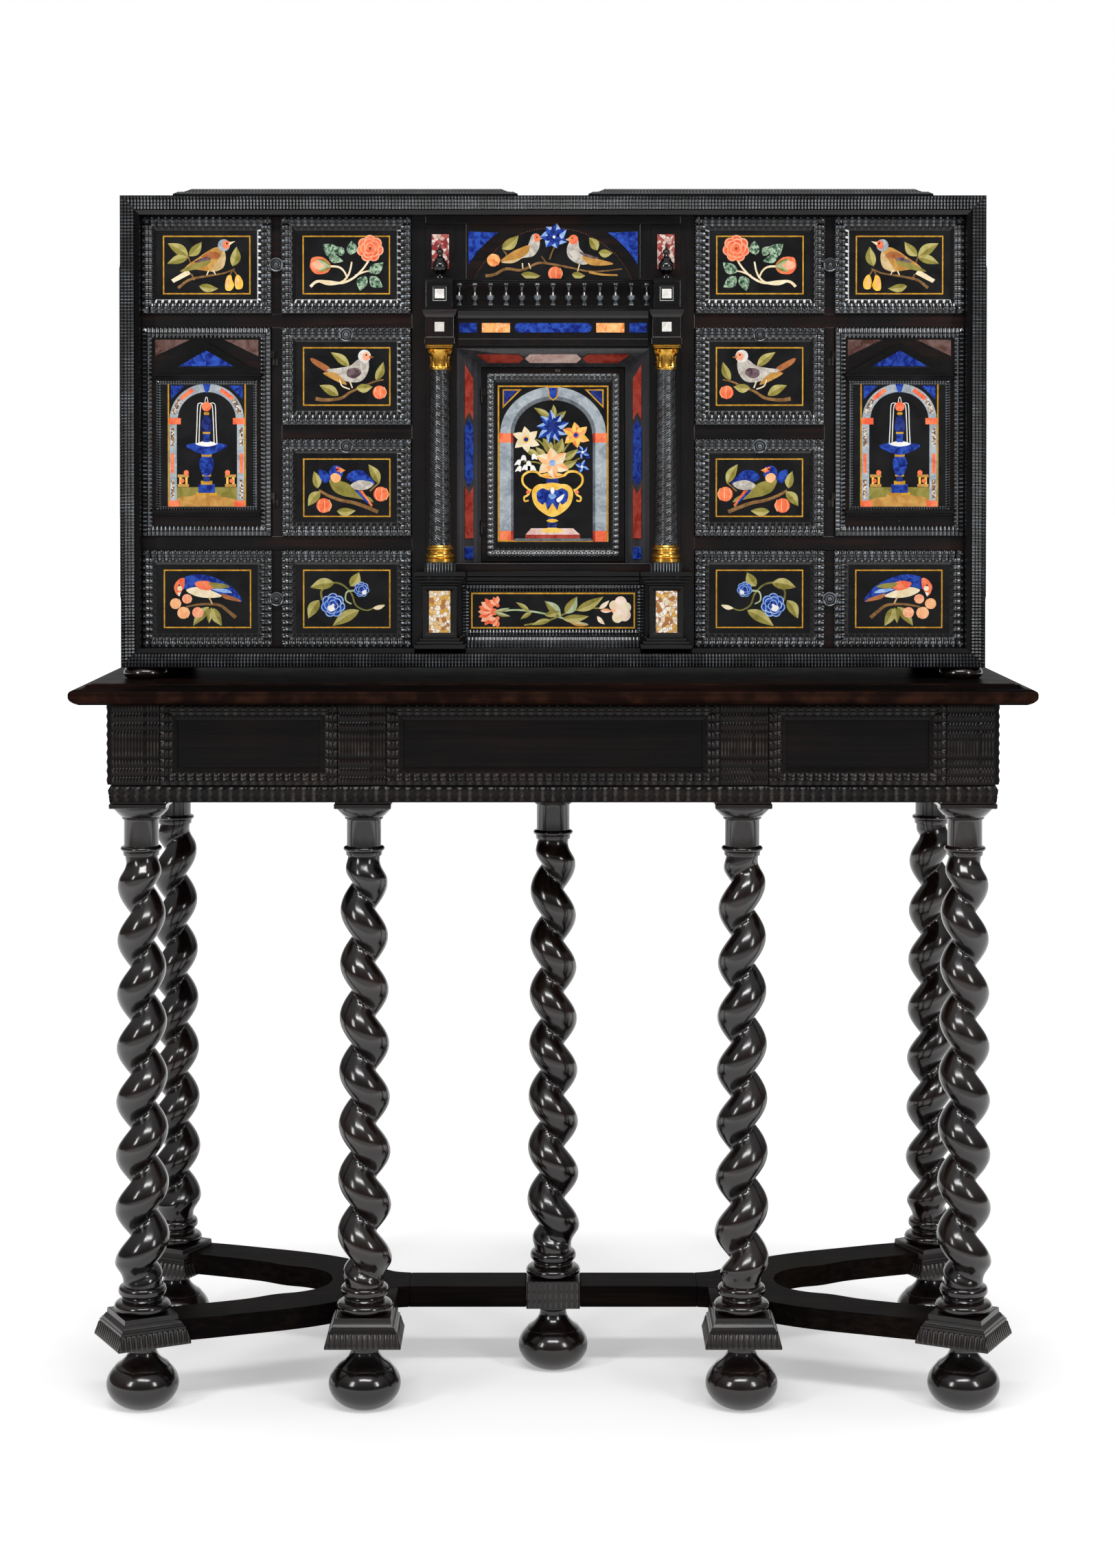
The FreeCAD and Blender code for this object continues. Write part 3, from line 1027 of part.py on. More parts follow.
def main():
    os.makedirs("parts", exist_ok=True)
    save("stand_top", stand_top())
    save("frieze_rails", frieze_rails())
    save("frieze_mouldings", frieze_mouldings() + frieze_base())
    plinths = []
    feet = []
    for name, x, y, inner, hand, start in leg_places():
        save("leg_" + name, leg(x, y, hand, start))
        plinths.append(plinth(name, x, y, inner))
        feet.append(bun_foot(x, y))
    save("plinths", plinths)
    save("bun_feet", feet)
    for side, word in zip(SIDES, ("left", "right")):
        save("stretcher_" + word, stretcher(side, plinths))
    save("stretcher_bars", stretcher_bars())
    save("case_feet", case_feet())
    x = (-CASE_WIDTH / 2, CASE_WIDTH / 2)
    y = (BOARD_FRONT, CASE_BACK)
    save("case_bottom", [box(x, y, (CASE_BOTTOM, INNER_BOTTOM))])
    save("case_top", [box(x, y, (INNER_TOP, CASE_TOP))])
    inner_z = (INNER_BOTTOM, INNER_TOP)
    save("case_sides", [box(mirrored(side, INNER_X, CASE_WIDTH / 2), y, inner_z) for side in SIDES])
    save("case_back", [box((-INNER_X, INNER_X), (INNER_BACK, CASE_BACK), inner_z)])
    save("case_frame", mitred_frame(V(x[0], BOARD_FRONT, CASE_BOTTOM), RIGHT, UP, -BACK, CASE_WIDTH,
                                    CASE_HEIGHT, scaled(CASE_FRAME_SHARES, CASE_BOARD, FRAME_REACH)))
    save("raised_panels", raised_panels())
    save("partitions", partitions())
    save("shelves", shelves())
    save("centre_boards", centre_boards())
    save("centre_walls", centre_walls())
    save("niche_reveals", reveals())
    save("pedestals", pedestals())
    save("column_shafts", column_shafts())
    save("column_mounts", column_mounts())
    save("entablature", entablature())
    save("balustrade", balustrade())
    save("attic", attic())
    save("centre_stones", centre_stones() + reveal_stones())
    hinges = []
    for side, word in zip(SIDES, ("left", "right")):
        for row, place in enumerate(("bottom", "lower", "upper", "top")):
            wood, stones = bank_drawer(side, row, place in ("bottom", "top"))
            save("drawer_%s_%s" % (place, word), wood)
            save("drawer_%s_%s_stone" % (place, word), stones)
        wood, stones, pins = side_door(side)
        save("door_" + word, wood)
        save("door_%s_stone" % word, stones)
        hinges += pins
    wood, stones = centre_drawer()
    save("drawer_centre", wood)
    save("drawer_centre_stone", stones)
    wood, stones, pins = niche_door()
    save("door_centre", wood)
    save("door_centre_stone", stones)
    save("hinge_pins", hinges + pins)


main()
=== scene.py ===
import math

import bmesh
import bpy
import numpy as np
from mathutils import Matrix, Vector


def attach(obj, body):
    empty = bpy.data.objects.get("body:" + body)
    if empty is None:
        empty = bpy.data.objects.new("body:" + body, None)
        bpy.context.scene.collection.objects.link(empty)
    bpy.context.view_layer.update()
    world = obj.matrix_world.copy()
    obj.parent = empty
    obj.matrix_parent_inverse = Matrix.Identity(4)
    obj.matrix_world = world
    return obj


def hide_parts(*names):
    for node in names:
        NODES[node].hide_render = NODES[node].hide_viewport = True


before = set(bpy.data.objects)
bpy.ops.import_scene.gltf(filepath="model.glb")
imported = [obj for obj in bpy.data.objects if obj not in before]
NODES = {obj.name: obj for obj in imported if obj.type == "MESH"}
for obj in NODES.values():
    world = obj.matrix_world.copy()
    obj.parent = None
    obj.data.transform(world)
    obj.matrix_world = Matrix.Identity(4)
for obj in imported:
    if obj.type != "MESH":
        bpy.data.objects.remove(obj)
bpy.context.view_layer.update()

# Cabinet on a twist-turned stand. Sizes here are millimetres in the frame's own axes; the front faces -Y.
MM = 0.001
RIGHT, BACK, UP = np.eye(3)
SIDES = (-1, 1)
WORDS = {-1: "left", 1: "right"}
FINISHES = {}

# Places repeated from the part's source
TOP_X, TOP_Y, STAND_TOP = 602, 250, 926
FRIEZE_X, FRIEZE_FRONT, FRIEZE_BOTTOM, FRIEZE_TOP, BASE_BOTTOM = 555, -203, 797, 900, 775
LEG_X, LEG_Y, INNER_LEG_X, LEG_TOP, PLINTH_BOTTOM, PLINTH_TOP = 523, 165, 240, 766, 86, 122
TWIST_BOTTOM, TWIST_TOP = 156, 704
STRETCHER_BOTTOM, STRETCHER_THICK = 88, 27.5
CASE_X, CASE_BOTTOM, CASE_TOP, BOARD_FRONT = 550, 941, 1541, -146
FACE, BANK_X, DIVIDER_X, DOOR_X, INNER_X = -125, 181, 347, 360, 526
ROWS = {"bottom": 965, "lower": 1107.325, "upper": 1249.65, "top": 1391.975}
ROW_HEIGHT = 125.025
LINING_BACK, SLATE_FRONT = 199, FACE - 3
SIDE_GAP, REST_GAP = 0.6, 0.3
COLUMN_X, COLUMN_Y, PIER_FRONT = 144, -144, -159.4
PEDESTAL_FRONT, PEDESTAL_BOTTOM, PEDESTAL_TOP, CAP_TOP = -160, 979, 1046, 1063
CENTRE_DRAWER_X, MIDDLE_X, MIDDLE_BOTTOM = 117, 111, 965
SHAFT_BOTTOM, SHAFT_HEIGHT = 1097, 223
GALLERY_X, GALLERY_BOTTOM, GALLERY_TOP = 126, 1396, 1436
CENTRE_DOOR_FACE = -90

# Each leg's place, the hand of its twist and the angle at which the twist starts
LEGS = {"front_left": (-LEG_X, -LEG_Y, 1, 40), "front_right": (LEG_X, -LEG_Y, -1, 150),
        "back_left": (-LEG_X, LEG_Y, 1, 200), "back_right": (LEG_X, LEG_Y, 1, 90),
        "inner_left": (-INNER_LEG_X, -LEG_Y, -1, 180), "inner_right": (INNER_LEG_X, -LEG_Y, 1, 180),
        "middle": (0, 0, -1, 180)}


# Finishes
def colour(red, green, blue):
    """A colour given as 0-255 screen values, in the linear values that nodes use."""
    return tuple(((c / 255 + 0.055) / 1.055) ** 2.4 if c > 10 else c / 3294.6
                 for c in (red, green, blue)) + (1,)


def node(tree, kind, inputs=(), **settings):
    """Shader node with its settings, and with a value or a link on each named input."""
    made = tree.nodes.new("ShaderNode" + kind)
    for name, value in settings.items():
        setattr(made, name, value)
    for key, value in dict(inputs).items():
        if isinstance(value, bpy.types.NodeSocket):
            tree.links.new(value, made.inputs[key])
        else:
            made.inputs[key].default_value = value
    return made


def mix(tree, share, first, second):
    """First colour turning into the second by a share."""
    return node(tree, "Mix", {0: share, 6: first, 7: second}, data_type="RGBA").outputs[2]


def spread(tree, value, low, high, to_low=0.0, to_high=1.0):
    """Value from low to high becomes to_low to to_high, with soft ends."""
    return node(tree, "MapRange", {0: value, 1: low, 2: high, 3: to_low, 4: to_high},
                interpolation_type="SMOOTHSTEP").outputs[0]


def noise(tree, where, scale, detail=3.0, distortion=0.0):
    """Cloudy value from 0 to 1."""
    return node(tree, "TexNoise", {"Vector": where, "Scale": scale, "Detail": detail,
                                   "Distortion": distortion}).outputs["Fac"]


def effect(name, inputs, outputs):
    """Empty shader node group; gives the tree, its input sockets and its output node."""
    tree = bpy.data.node_groups.new(name, "ShaderNodeTree")
    for socket, kind in inputs.items():
        tree.interface.new_socket(socket, in_out="INPUT", socket_type="NodeSocket" + kind)
    for socket, kind in outputs.items():
        tree.interface.new_socket(socket, in_out="OUTPUT", socket_type="NodeSocket" + kind)
    return tree, tree.nodes.new("NodeGroupInput").outputs, tree.nodes.new("NodeGroupOutput").inputs


def math_of(tree, operation, first, second=0.0):
    """Result of one sum on two values."""
    return node(tree, "Math", {0: first, 1: second}, operation=operation).outputs[0]


def wood_figure():
    """Streaked grain with clouds in its colour, and a polish that varies a little."""
    tree, given, out = effect("wood_figure", {"Dark": "Color", "Light": "Color", "Run": "Vector",
                                              "Polish": "Float"},
                              {"Color": "Color", "Roughness": "Float", "Height": "Float"})
    place = node(tree, "TexCoord").outputs["Object"]
    run = node(tree, "VectorMath", {0: place, 1: given["Run"]}, operation="MULTIPLY").outputs[0]
    streak = noise(tree, run, 1.0, 5.0, 0.4)
    cloud = noise(tree, place, 7.0, 2.0)
    figure = math_of(tree, "MULTIPLY", streak, cloud)
    tree.links.new(mix(tree, spread(tree, figure, 0.16, 0.42), given["Dark"], given["Light"]), out["Color"])
    rub = spread(tree, noise(tree, place, 30.0, 4.0), 0.3, 0.7, -0.012, 0.024)
    tree.links.new(math_of(tree, "ADD", given["Polish"], rub), out["Roughness"])
    tree.links.new(streak, out["Height"])
    return tree


def rubbed_and_glinting_edges():
    """Patchy mask of the raised places, where a finish takes its lighter colour: a painted highlight on the
    crests of the blue-grey ebony, case and knob finishes, and rubbed wear on the reddish-brown top and leg
    woods.
    """
    tree, given, out = effect("rubbed_and_glinting_edges", {"Glint and wear": "Float"}, {"Mask": "Float"})
    ridge = node(tree, "Attribute", attribute_name="ridge").outputs["Fac"]
    place = node(tree, "TexCoord").outputs["Object"]
    patch = spread(tree, noise(tree, place, 34.0, 5.0), 0.42, 0.68, 0.25, 1.0)
    high = spread(tree, ridge, 0.55, 1.0)
    wear_and_glint = math_of(tree, "MULTIPLY", high, patch)
    tree.links.new(math_of(tree, "MULTIPLY", wear_and_glint, given["Glint and wear"]), out["Mask"])
    return tree


def stone_figure():
    """Clouded stone with thin veins."""
    tree, given, out = effect("stone_figure", {"Ground": "Color", "Second": "Color", "Vein": "Color",
                                               "Scale": "Float", "Veining": "Float"},
                              {"Color": "Color", "Roughness": "Float"})
    place = node(tree, "TexCoord").outputs["Object"]
    cloud = noise(tree, place, given["Scale"], 5.0, 0.9)
    body = mix(tree, spread(tree, cloud, 0.36, 0.64), given["Ground"], given["Second"])
    line = noise(tree, place, given["Scale"], 2.0, 2.2)
    off = math_of(tree, "ABSOLUTE", math_of(tree, "SUBTRACT", line, 0.5))
    vein = math_of(tree, "MULTIPLY", spread(tree, off, 0.0, 0.035, 1.0, 0.0), given["Veining"])
    tree.links.new(mix(tree, vein, body, given["Vein"]), out["Color"])
    tree.links.new(spread(tree, cloud, 0.2, 0.8, 0.24, 0.36), out["Roughness"])
    return tree


WOOD, WEAR_AND_GLINT, STONE = wood_figure(), rubbed_and_glinting_edges(), stone_figure()


def material(name):
    """New finish; gives its node tree and its shader's inputs."""
    made = bpy.data.materials.new(name)
    made.use_nodes = True
    FINISHES[name] = made
    tree = made.node_tree
    return tree, tree.nodes["Principled BSDF"].inputs


def group(tree, kind, inputs):
    """Places a shared effect in a finish with the finish's own values."""
    made = node(tree, "Group", node_tree=kind)
    for key, value in inputs.items():
        made.inputs[key].default_value = value
    return made.outputs


def wood(name, dark, light, wear_and_glint, run, polish, wear_and_glint_share, bump, gloss=0.5):
    """Wood finish; run stretches the grain along an axis, and the colour given after the light one goes on
    the raised places: rubbed wear, and on the blue-grey ebony finishes a painted highlight.
    """
    tree, shader = material(name)
    figure = group(tree, WOOD, {"Dark": colour(*dark), "Light": colour(*light), "Run": run, "Polish": polish})
    edge = group(tree, WEAR_AND_GLINT, {"Glint and wear": wear_and_glint_share})
    tree.links.new(mix(tree, edge["Mask"], figure["Color"], colour(*wear_and_glint)), shader["Base Color"])
    tree.links.new(figure["Roughness"], shader["Roughness"])
    shader["Specular IOR Level"].default_value = gloss
    relief = node(tree, "Bump", {"Height": figure["Height"], "Strength": bump, "Distance": 0.0006})
    tree.links.new(relief.outputs[0], shader["Normal"])


def stone(name, ground, second, vein, scale=60.0, veining=0.3, gloss=0.3):
    """Polished stone of two clouded colours with veins of a third."""
    tree, shader = material(name)
    figure = group(tree, STONE, {"Ground": colour(*ground), "Second": colour(*second), "Vein": colour(*vein),
                                 "Scale": scale, "Veining": veining})
    tree.links.new(figure["Color"], shader["Base Color"])
    tree.links.new(figure["Roughness"], shader["Roughness"])
    shader["Specular IOR Level"].default_value = gloss


def breccia(name, bed, bits, size):
    """Broken stone: pieces of several colours in a bed."""
    tree, shader = material(name)
    place = node(tree, "TexCoord").outputs["Object"]
    cells = node(tree, "TexVoronoi", {"Vector": place, "Scale": size}, feature="F1")
    gaps = node(tree, "TexVoronoi", {"Vector": place, "Scale": size}, feature="DISTANCE_TO_EDGE")
    pick = node(tree, "SeparateColor", {0: cells.outputs["Color"]}).outputs[0]
    ramp = node(tree, "ValToRGB", {0: pick})
    ramp.color_ramp.interpolation = "CONSTANT"
    stops = ramp.color_ramp.elements
    stops.remove(stops[1])
    stops[0].color = colour(*bits[0])
    for i, bit in enumerate(bits[1:], 1):
        stops.new(i / len(bits)).color = colour(*bit)
    cloud = noise(tree, place, size * 2, 4.0)
    tint = mix(tree, spread(tree, cloud, 0.45, 0.95), ramp.outputs[0], colour(*bed))
    seam = spread(tree, gaps.outputs["Distance"], 0.01, 0.06, 1.0, 0.0)
    tree.links.new(mix(tree, seam, tint, colour(*bed)), shader["Base Color"])
    tree.links.new(spread(tree, cloud, 0.2, 0.8, 0.24, 0.38), shader["Roughness"])


def metal(name, bright, dull, polish):
    """Metal with duller patches."""
    tree, shader = material(name)
    place = node(tree, "TexCoord").outputs["Object"]
    tone = spread(tree, noise(tree, place, 90.0, 4.0), 0.35, 0.7)
    tree.links.new(mix(tree, tone, colour(*bright), colour(*dull)), shader["Base Color"])
    tree.links.new(spread(tree, tone, 0.0, 1.0, polish, polish + 0.22), shader["Roughness"])
    shader["Metallic"].default_value = 1.0


ACROSS, ALONG_Z, ALONG_Y = (5, 160, 160), (160, 160, 5), (160, 5, 160)
# The blue-grey colour after the light one in ebony, case_wood and knob_wood is a painted highlight: it
# lightens ripple crests, reeds, rings and bulges where the lamps would glint.
wood("ebony", (6, 6, 7), (14, 12, 12), (146, 156, 166), ACROSS, 0.15, 0.6, 0.08, 0.75)
wood("case_wood", (6, 6, 7), (14, 12, 12), (150, 158, 166), ACROSS, 0.15, 0.5, 0.08, 0.3)
wood("knob_wood", (12, 12, 13), (22, 20, 20), (150, 158, 166), ACROSS, 0.14, 0.8, 0.05, 0.9)
wood("ebony_upright", (8, 7, 8), (24, 14, 12), (96, 98, 102), ALONG_Z, 0.24, 0.4, 0.12, 0.5)
wood("ebony_board", (8, 7, 8), (36, 17, 13), (60, 44, 38), ACROSS, 0.28, 0.3, 0.15, 0.35)
wood("stand_wood", (13, 10, 10), (26, 17, 14), (92, 84, 78), ACROSS, 0.3, 0.42, 0.35, 0.5)
wood("frieze_wood", (10, 8, 8), (22, 14, 12), (96, 88, 82), ACROSS, 0.26, 0.4, 0.3, 0.2)
wood("stretcher_wood", (12, 10, 10), (26, 20, 17), (84, 60, 46), ACROSS, 0.4, 0.4, 0.3, 0.004)
wood("leg_wood", (11, 8, 8), (28, 16, 12), (64, 40, 30), ALONG_Z, 0.16, 0.3, 0.25, 0.7)
wood("top_wood", (10, 8, 8), (26, 15, 12), (90, 56, 42), ACROSS, 0.38, 0.3, 0.05, 0.003)
# The niche's ebony reveals are painted mid grey: a painted reflection of the side lamps in the splayed
# boards.
wood("niche_painted_reflection", (46, 47, 50), (68, 68, 71), (96, 98, 102), ALONG_Z, 0.26, 0.3, 0.1, 0.5)
wood("lining_wood", (120, 84, 52), (158, 118, 78), (150, 120, 90), ALONG_Y, 0.55, 0.2, 0.3)
breccia("breccia_cream", (150, 96, 62), ((236, 228, 210), (206, 160, 72), (222, 206, 176), (168, 110, 60),
                                         (226, 188, 120), (240, 234, 222)), 190)
breccia("breccia_red", (120, 40, 42), ((160, 62, 60), (226, 208, 196), (134, 44, 46), (206, 170, 160),
                                       (172, 84, 78)), 200)
breccia("breccia_fine", (120, 92, 66), ((236, 230, 220), (150, 112, 80), (216, 204, 186), (92, 68, 54)), 480)
STONES = {
    "slate": ((12, 12, 14), (17, 17, 19), (26, 26, 28), 25, 0.12),
    "gold_line": ((202, 152, 48), (172, 120, 34), (222, 182, 90), 120, 0.2),
    "lapis": ((14, 30, 112), (40, 78, 176), (10, 18, 66), 130, 0.5),
    "lapis_dark": ((12, 22, 80), (28, 50, 128), (90, 100, 150), 120, 0.3),
    "jasper": ((142, 40, 30), (170, 62, 48), (190, 120, 100), 60, 0.3),
    "coral": ((226, 92, 58), (240, 128, 84), (250, 178, 140), 55, 0.3),
    "coral_pale": ((238, 150, 112), (246, 182, 148), (250, 214, 190), 60, 0.3),
    "peach": ((240, 168, 110), (246, 196, 146), (226, 120, 74), 55, 0.35),
    "agate": ((222, 116, 46), (240, 176, 104), (250, 226, 190), 70, 0.6),
    "grey_stone": ((136, 146, 154), (166, 174, 180), (206, 210, 212), 45, 0.45),
    "grey_shade": ((84, 90, 96), (106, 112, 118), (140, 146, 150), 45, 0.35),
    "dove_grey": ((168, 160, 150), (204, 198, 188), (120, 108, 98), 120, 0.4),
    "pearl": ((206, 202, 196), (232, 230, 226), (176, 172, 170), 60, 0.4),
    "pink_agate": ((214, 178, 168), (232, 206, 196), (176, 108, 96), 60, 0.5),
    "olive": ((120, 112, 48), (146, 136, 66), (170, 158, 92), 60, 0.2),
    "olive_pale": ((160, 150, 84), (182, 172, 108), (204, 194, 136), 60, 0.2),
    "olive_dark": ((92, 92, 42), (116, 112, 56), (140, 132, 74), 60, 0.2),
    "pale_green": ((150, 166, 124), (176, 188, 150), (204, 210, 180), 60, 0.25),
    "leaf_spotted": ((36, 70, 50), (172, 198, 168), (22, 42, 32), 210, 0.4),
    "ochre": ((176, 126, 58), (200, 152, 80), (150, 100, 44), 70, 0.3),
    "tan": ((190, 160, 108), (210, 184, 138), (150, 116, 70), 80, 0.3),
    "umber": ((112, 80, 46), (144, 106, 62), (82, 56, 32), 90, 0.4),
    "rust": ((150, 86, 48), (178, 112, 66), (112, 60, 36), 80, 0.3),
    "plum": ((72, 52, 58), (116, 96, 100), (46, 34, 40), 130, 0.4),
    "cream": ((226, 206, 166), (238, 224, 194), (206, 178, 130), 60, 0.25),
    "white_stone": ((228, 226, 220), (242, 240, 236), (200, 200, 200), 60, 0.25),
    "yellow_stone": ((232, 180, 62), (242, 204, 104), (210, 140, 50), 60, 0.25),
    "sky": ((120, 158, 212), (170, 196, 230), (70, 110, 190), 80, 0.4),
    "blush": ((234, 206, 186), (244, 226, 210), (224, 170, 146), 60, 0.25),
    "brown_agate": ((70, 42, 36), (108, 82, 76), (124, 104, 98), 45, 0.4)}
for stone_name, stone_colours in STONES.items():
    stone(stone_name, *stone_colours)
metal("gilt", (238, 186, 84), (150, 104, 38), 0.2)
metal("iron", (70, 66, 64), (36, 33, 32), 0.38)


# Shapes
class Stock:
    """Points and faces of one visual piece, with the finish of each face and how raised each point is."""

    def __init__(self):
        self.points, self.faces, self.marks, self.ridges, self.names = [], [], [], [], []
        self.count = 0

    def add(self, points, faces, finish, ridge=0.0):
        points = np.asarray(points, float).reshape(-1, 3)
        if finish not in self.names:
            self.names.append(finish)
        self.faces += [tuple(int(i) + self.count for i in face) for face in faces]
        self.marks += [self.names.index(finish)] * len(faces)
        self.points.append(points)
        self.ridges.append(np.broadcast_to(np.asarray(ridge, float).ravel(), len(points)))
        self.count += len(points)

    def make(self, name, body, slot, *stands_for, angle=38):
        mesh = bpy.data.meshes.new(name)
        mesh.from_pydata((np.concatenate(self.points) * MM).tolist(), [], self.faces)
        for finish in self.names:
            mesh.materials.append(FINISHES[finish])
        mesh.polygons.foreach_set("material_index", self.marks)
        raised = mesh.attributes.new("ridge", "FLOAT", "POINT")
        raised.data.foreach_set("value", np.concatenate(self.ridges).astype(np.float32))
        work = bmesh.new()
        work.from_mesh(mesh)
        bmesh.ops.recalc_face_normals(work, faces=work.faces)
        work.to_mesh(mesh)
        work.free()
        mesh.shade_smooth()
        mesh.set_sharp_from_angle(angle=math.radians(angle))
        piece = bpy.data.objects.new(name, mesh)
        bpy.context.scene.collection.objects.link(piece)
        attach(piece, body)
        if stands_for:
            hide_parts(*stands_for)
        return piece


def ease_edges(piece, width):
    """Rounds a piece's sharp edges."""
    ease = piece.modifiers.new("eased_edges", "BEVEL")
    ease.width = width * MM
    ease.segments = 2
    ease.limit_method = "ANGLE"
    ease.angle_limit = math.radians(40)


def board(stock, finish, x, y, z, edge=0.6):
    """Board with eased edges between two values on each axis."""
    low, high = np.sort(np.array([x, y, z], float), axis=1).T
    middle, half = (low + high) / 2, (high - low) / 2
    edge = min(edge, half.min() / 2)
    corners = [(a, b, c) for a in SIDES for b in SIDES for c in SIDES]
    points, at = [], {}
    for corner in corners:
        for axis in range(3):
            ease = np.full(3, edge)
            ease[axis] = 0
            at[corner, axis] = len(points)
            points.append(middle + np.array(corner) * (half - ease))
    faces = [tuple(at[corner, axis] for axis in range(3)) for corner in corners]
    for axis in range(3):
        second, third = (axis + 1) % 3, (axis + 2) % 3

        def turned_to_axis(a, b, c):
            signs = [0, 0, 0]
            signs[axis], signs[second], signs[third] = a, b, c
            return tuple(signs)

        for side in SIDES:
            ring = [turned_to_axis(side, a, b) for a, b in ((-1, -1), (1, -1), (1, 1), (-1, 1))]
            faces.append(tuple(at[c, axis] for c in ring))
            for other in SIDES:
                near, far = turned_to_axis(-1, side, other), turned_to_axis(1, side, other)
                faces.append((at[near, second], at[far, second], at[far, third], at[near, third]))
    stock.add(points, faces, finish)


def directions(angle):
    """Level directions away from an upright axis, and round it."""
    return np.array([math.cos(angle), math.sin(angle), 0]), np.array([-math.sin(angle), math.cos(angle), 0])


def tube_faces(rings, around):
    """Faces of a closed skin through rings of points, with both ends closed."""
    faces = [tuple(range(around)), tuple(range((rings - 1) * around, rings * around))]
    for ring in range(rings - 1):
        for i in range(around):
            j = (i + 1) % around
            faces.append((ring * around + i, ring * around + j, (ring + 1) * around + j,
                          (ring + 1) * around + i))
    return faces


def turned(stock, finish, at, profile, around=32, forward=False, ridge=0.0):
    """Turning about an upright axis, or about one that comes forward; a profile point is (radius, height)."""
    angle = np.arange(around) * math.tau / around
    points = np.concatenate([np.column_stack([r * np.cos(angle), r * np.sin(angle), np.full(around, h)])
                             for r, h in profile])
    if forward:
        points = points[:, (0, 2, 1)] * (1, -1, 1)
    stock.add(points + np.array(at, float), tube_faces(len(profile), around), finish, ridge)


def bead(core, radius, bottom, height, steps=8):
    """Half-round turned ring, as profile points."""
    turn = np.linspace(0, math.pi, steps + 1)
    return [(core + (radius - core) * math.sin(t), bottom + height * (1 - math.cos(t)) / 2) for t in turn]


def prism(stock, finish, outline, out):
    """Flat outline pushed out into a slab."""
    outline = np.asarray(outline, float)
    stock.add(np.concatenate([outline, outline + out]), tube_faces(2, len(outline)), finish)


def ripple_run(stock, finish, start, run, inward, out, length, profile, pitch, depth, mitre=(1, 0), steps=6,
               uneven=0):
    """One length of ripple moulding; a profile point is (inset, reach, share of the ripple)."""
    inset, reach, share = np.array(profile, float).T
    near = inset * mitre[0] + reach * mitre[1]
    waves = max(1, round(length / pitch))
    along = np.linspace(min(0, near.min()), length - min(0, near.min()), waves * steps + 1)
    place = np.clip(along[:, None], near, length - near)
    wave = 0.5 - 0.5 * np.cos(place / length * waves * math.tau) if depth else np.ones(place.shape)
    if uneven:
        wave = 1 - (1 - wave) * (0.58 + 0.42 * np.sin(place / length * math.tau * uneven))
    height = reach - depth * share * (1 - wave)
    grid = (np.asarray(start, float) + place[..., None] * run + inset[None, :, None] * inward
            + height[..., None] * np.asarray(out, float))
    rows, width = place.shape
    fresh = np.ones(place.shape, bool)
    fresh[1:] = np.abs(np.diff(place, axis=0)) > 1e-6
    index = (np.cumsum(fresh.ravel()) - 1).reshape(place.shape)
    for row in range(1, rows):
        index[row] = np.where(fresh[row], index[row], index[row - 1])
    after = np.roll(index, -1, axis=1)
    quads = np.stack([index[:-1], index[1:], after[1:], after[:-1]], axis=-1).reshape(-1, 4)
    first, second = quads[:, 0] == quads[:, 1], quads[:, 2] == quads[:, 3]
    faces = quads[~first & ~second].tolist() + quads[first & ~second][:, 1:].tolist()
    faces += quads[~first & second][:, :3].tolist() + [index[0].tolist(), index[-1].tolist()]
    # The crest marks carry the lighter raised-place colour: a painted highlight on the ebony and case
    # finishes.
    stock.add(grid.reshape(-1, 3)[fresh.ravel()], faces, finish, (wave * share).ravel()[fresh.ravel()])


def sized(shares, width, reach):
    """Profile given in shares, at its real width and reach."""
    return [(a * width, b * reach, c) for a, b, c in shares]


def ripple_frame(stock, finish, corner, u, v, out, width, height, profile, pitch, depth, steps=6):
    """Four mitred lengths of ripple moulding round a rectangle."""
    corner = np.asarray(corner, float)
    for start, run, inward, length in ((corner, u, v, width), (corner + u * width, v, -u, height),
                                       (corner + u * width + v * height, -u, -v, width),
                                       (corner + v * height, -v, u, height)):
        ripple_run(stock, finish, start, run, inward, out, length, profile, pitch, depth, steps=steps)


def front_frame(stock, finish, x, z, y, profile, pitch, depth, steps=6):
    """Ripple frame on a front that faces forward."""
    ripple_frame(stock, finish, (min(x), y, min(z)), RIGHT, UP, -BACK, abs(x[1] - x[0]), abs(z[1] - z[0]),
                 profile, pitch, depth, steps)


def strips(spans, groove, ends):
    """Ripple profile of several strips with fine grooves between them, between plain ends."""
    points = list(ends[0])
    for a, b, reach_a, reach_b in spans:
        points += [(a, reach_a - groove, 0.3), (a + 0.02, reach_a, 1), (b - 0.02, reach_b, 1),
                   (b, reach_b - groove, 0.3)]
    return points + list(ends[1])


PANEL_STRIPS = strips([(0.03, 0.25, 0.9, 1.0), (0.27, 0.48, 0.98, 0.92), (0.5, 0.72, 0.84, 0.7)], 0.14,
                      ([(0.0, 0.0, 0), (0.0, 0.7, 0)], [(0.76, 0.56, 0), (1.0, 0.4, 0), (1.0, 0.0, 0)]))
CASE_STRIPS = strips([(0.04, 0.2, 0.96, 1.0), (0.21, 0.38, 1.0, 1.0), (0.39, 0.56, 1.0, 1.0),
                      (0.57, 0.74, 1.0, 0.98)], 0.16,
                     ([(0.0, 0.0, 0), (0.0, 0.78, 0)], [(0.78, 0.9, 0), (1.0, 0.4, 0), (1.0, 0.0, 0)]))
FINE_STRIPS = strips([(0.06, 0.48, 0.8, 1.0), (0.54, 0.94, 0.9, 0.6)], 0.16,
                     ([(0.0, 0.0, 0), (0.0, 0.6, 0)], [(1.0, 0.4, 0), (1.0, 0.0, 0)]))
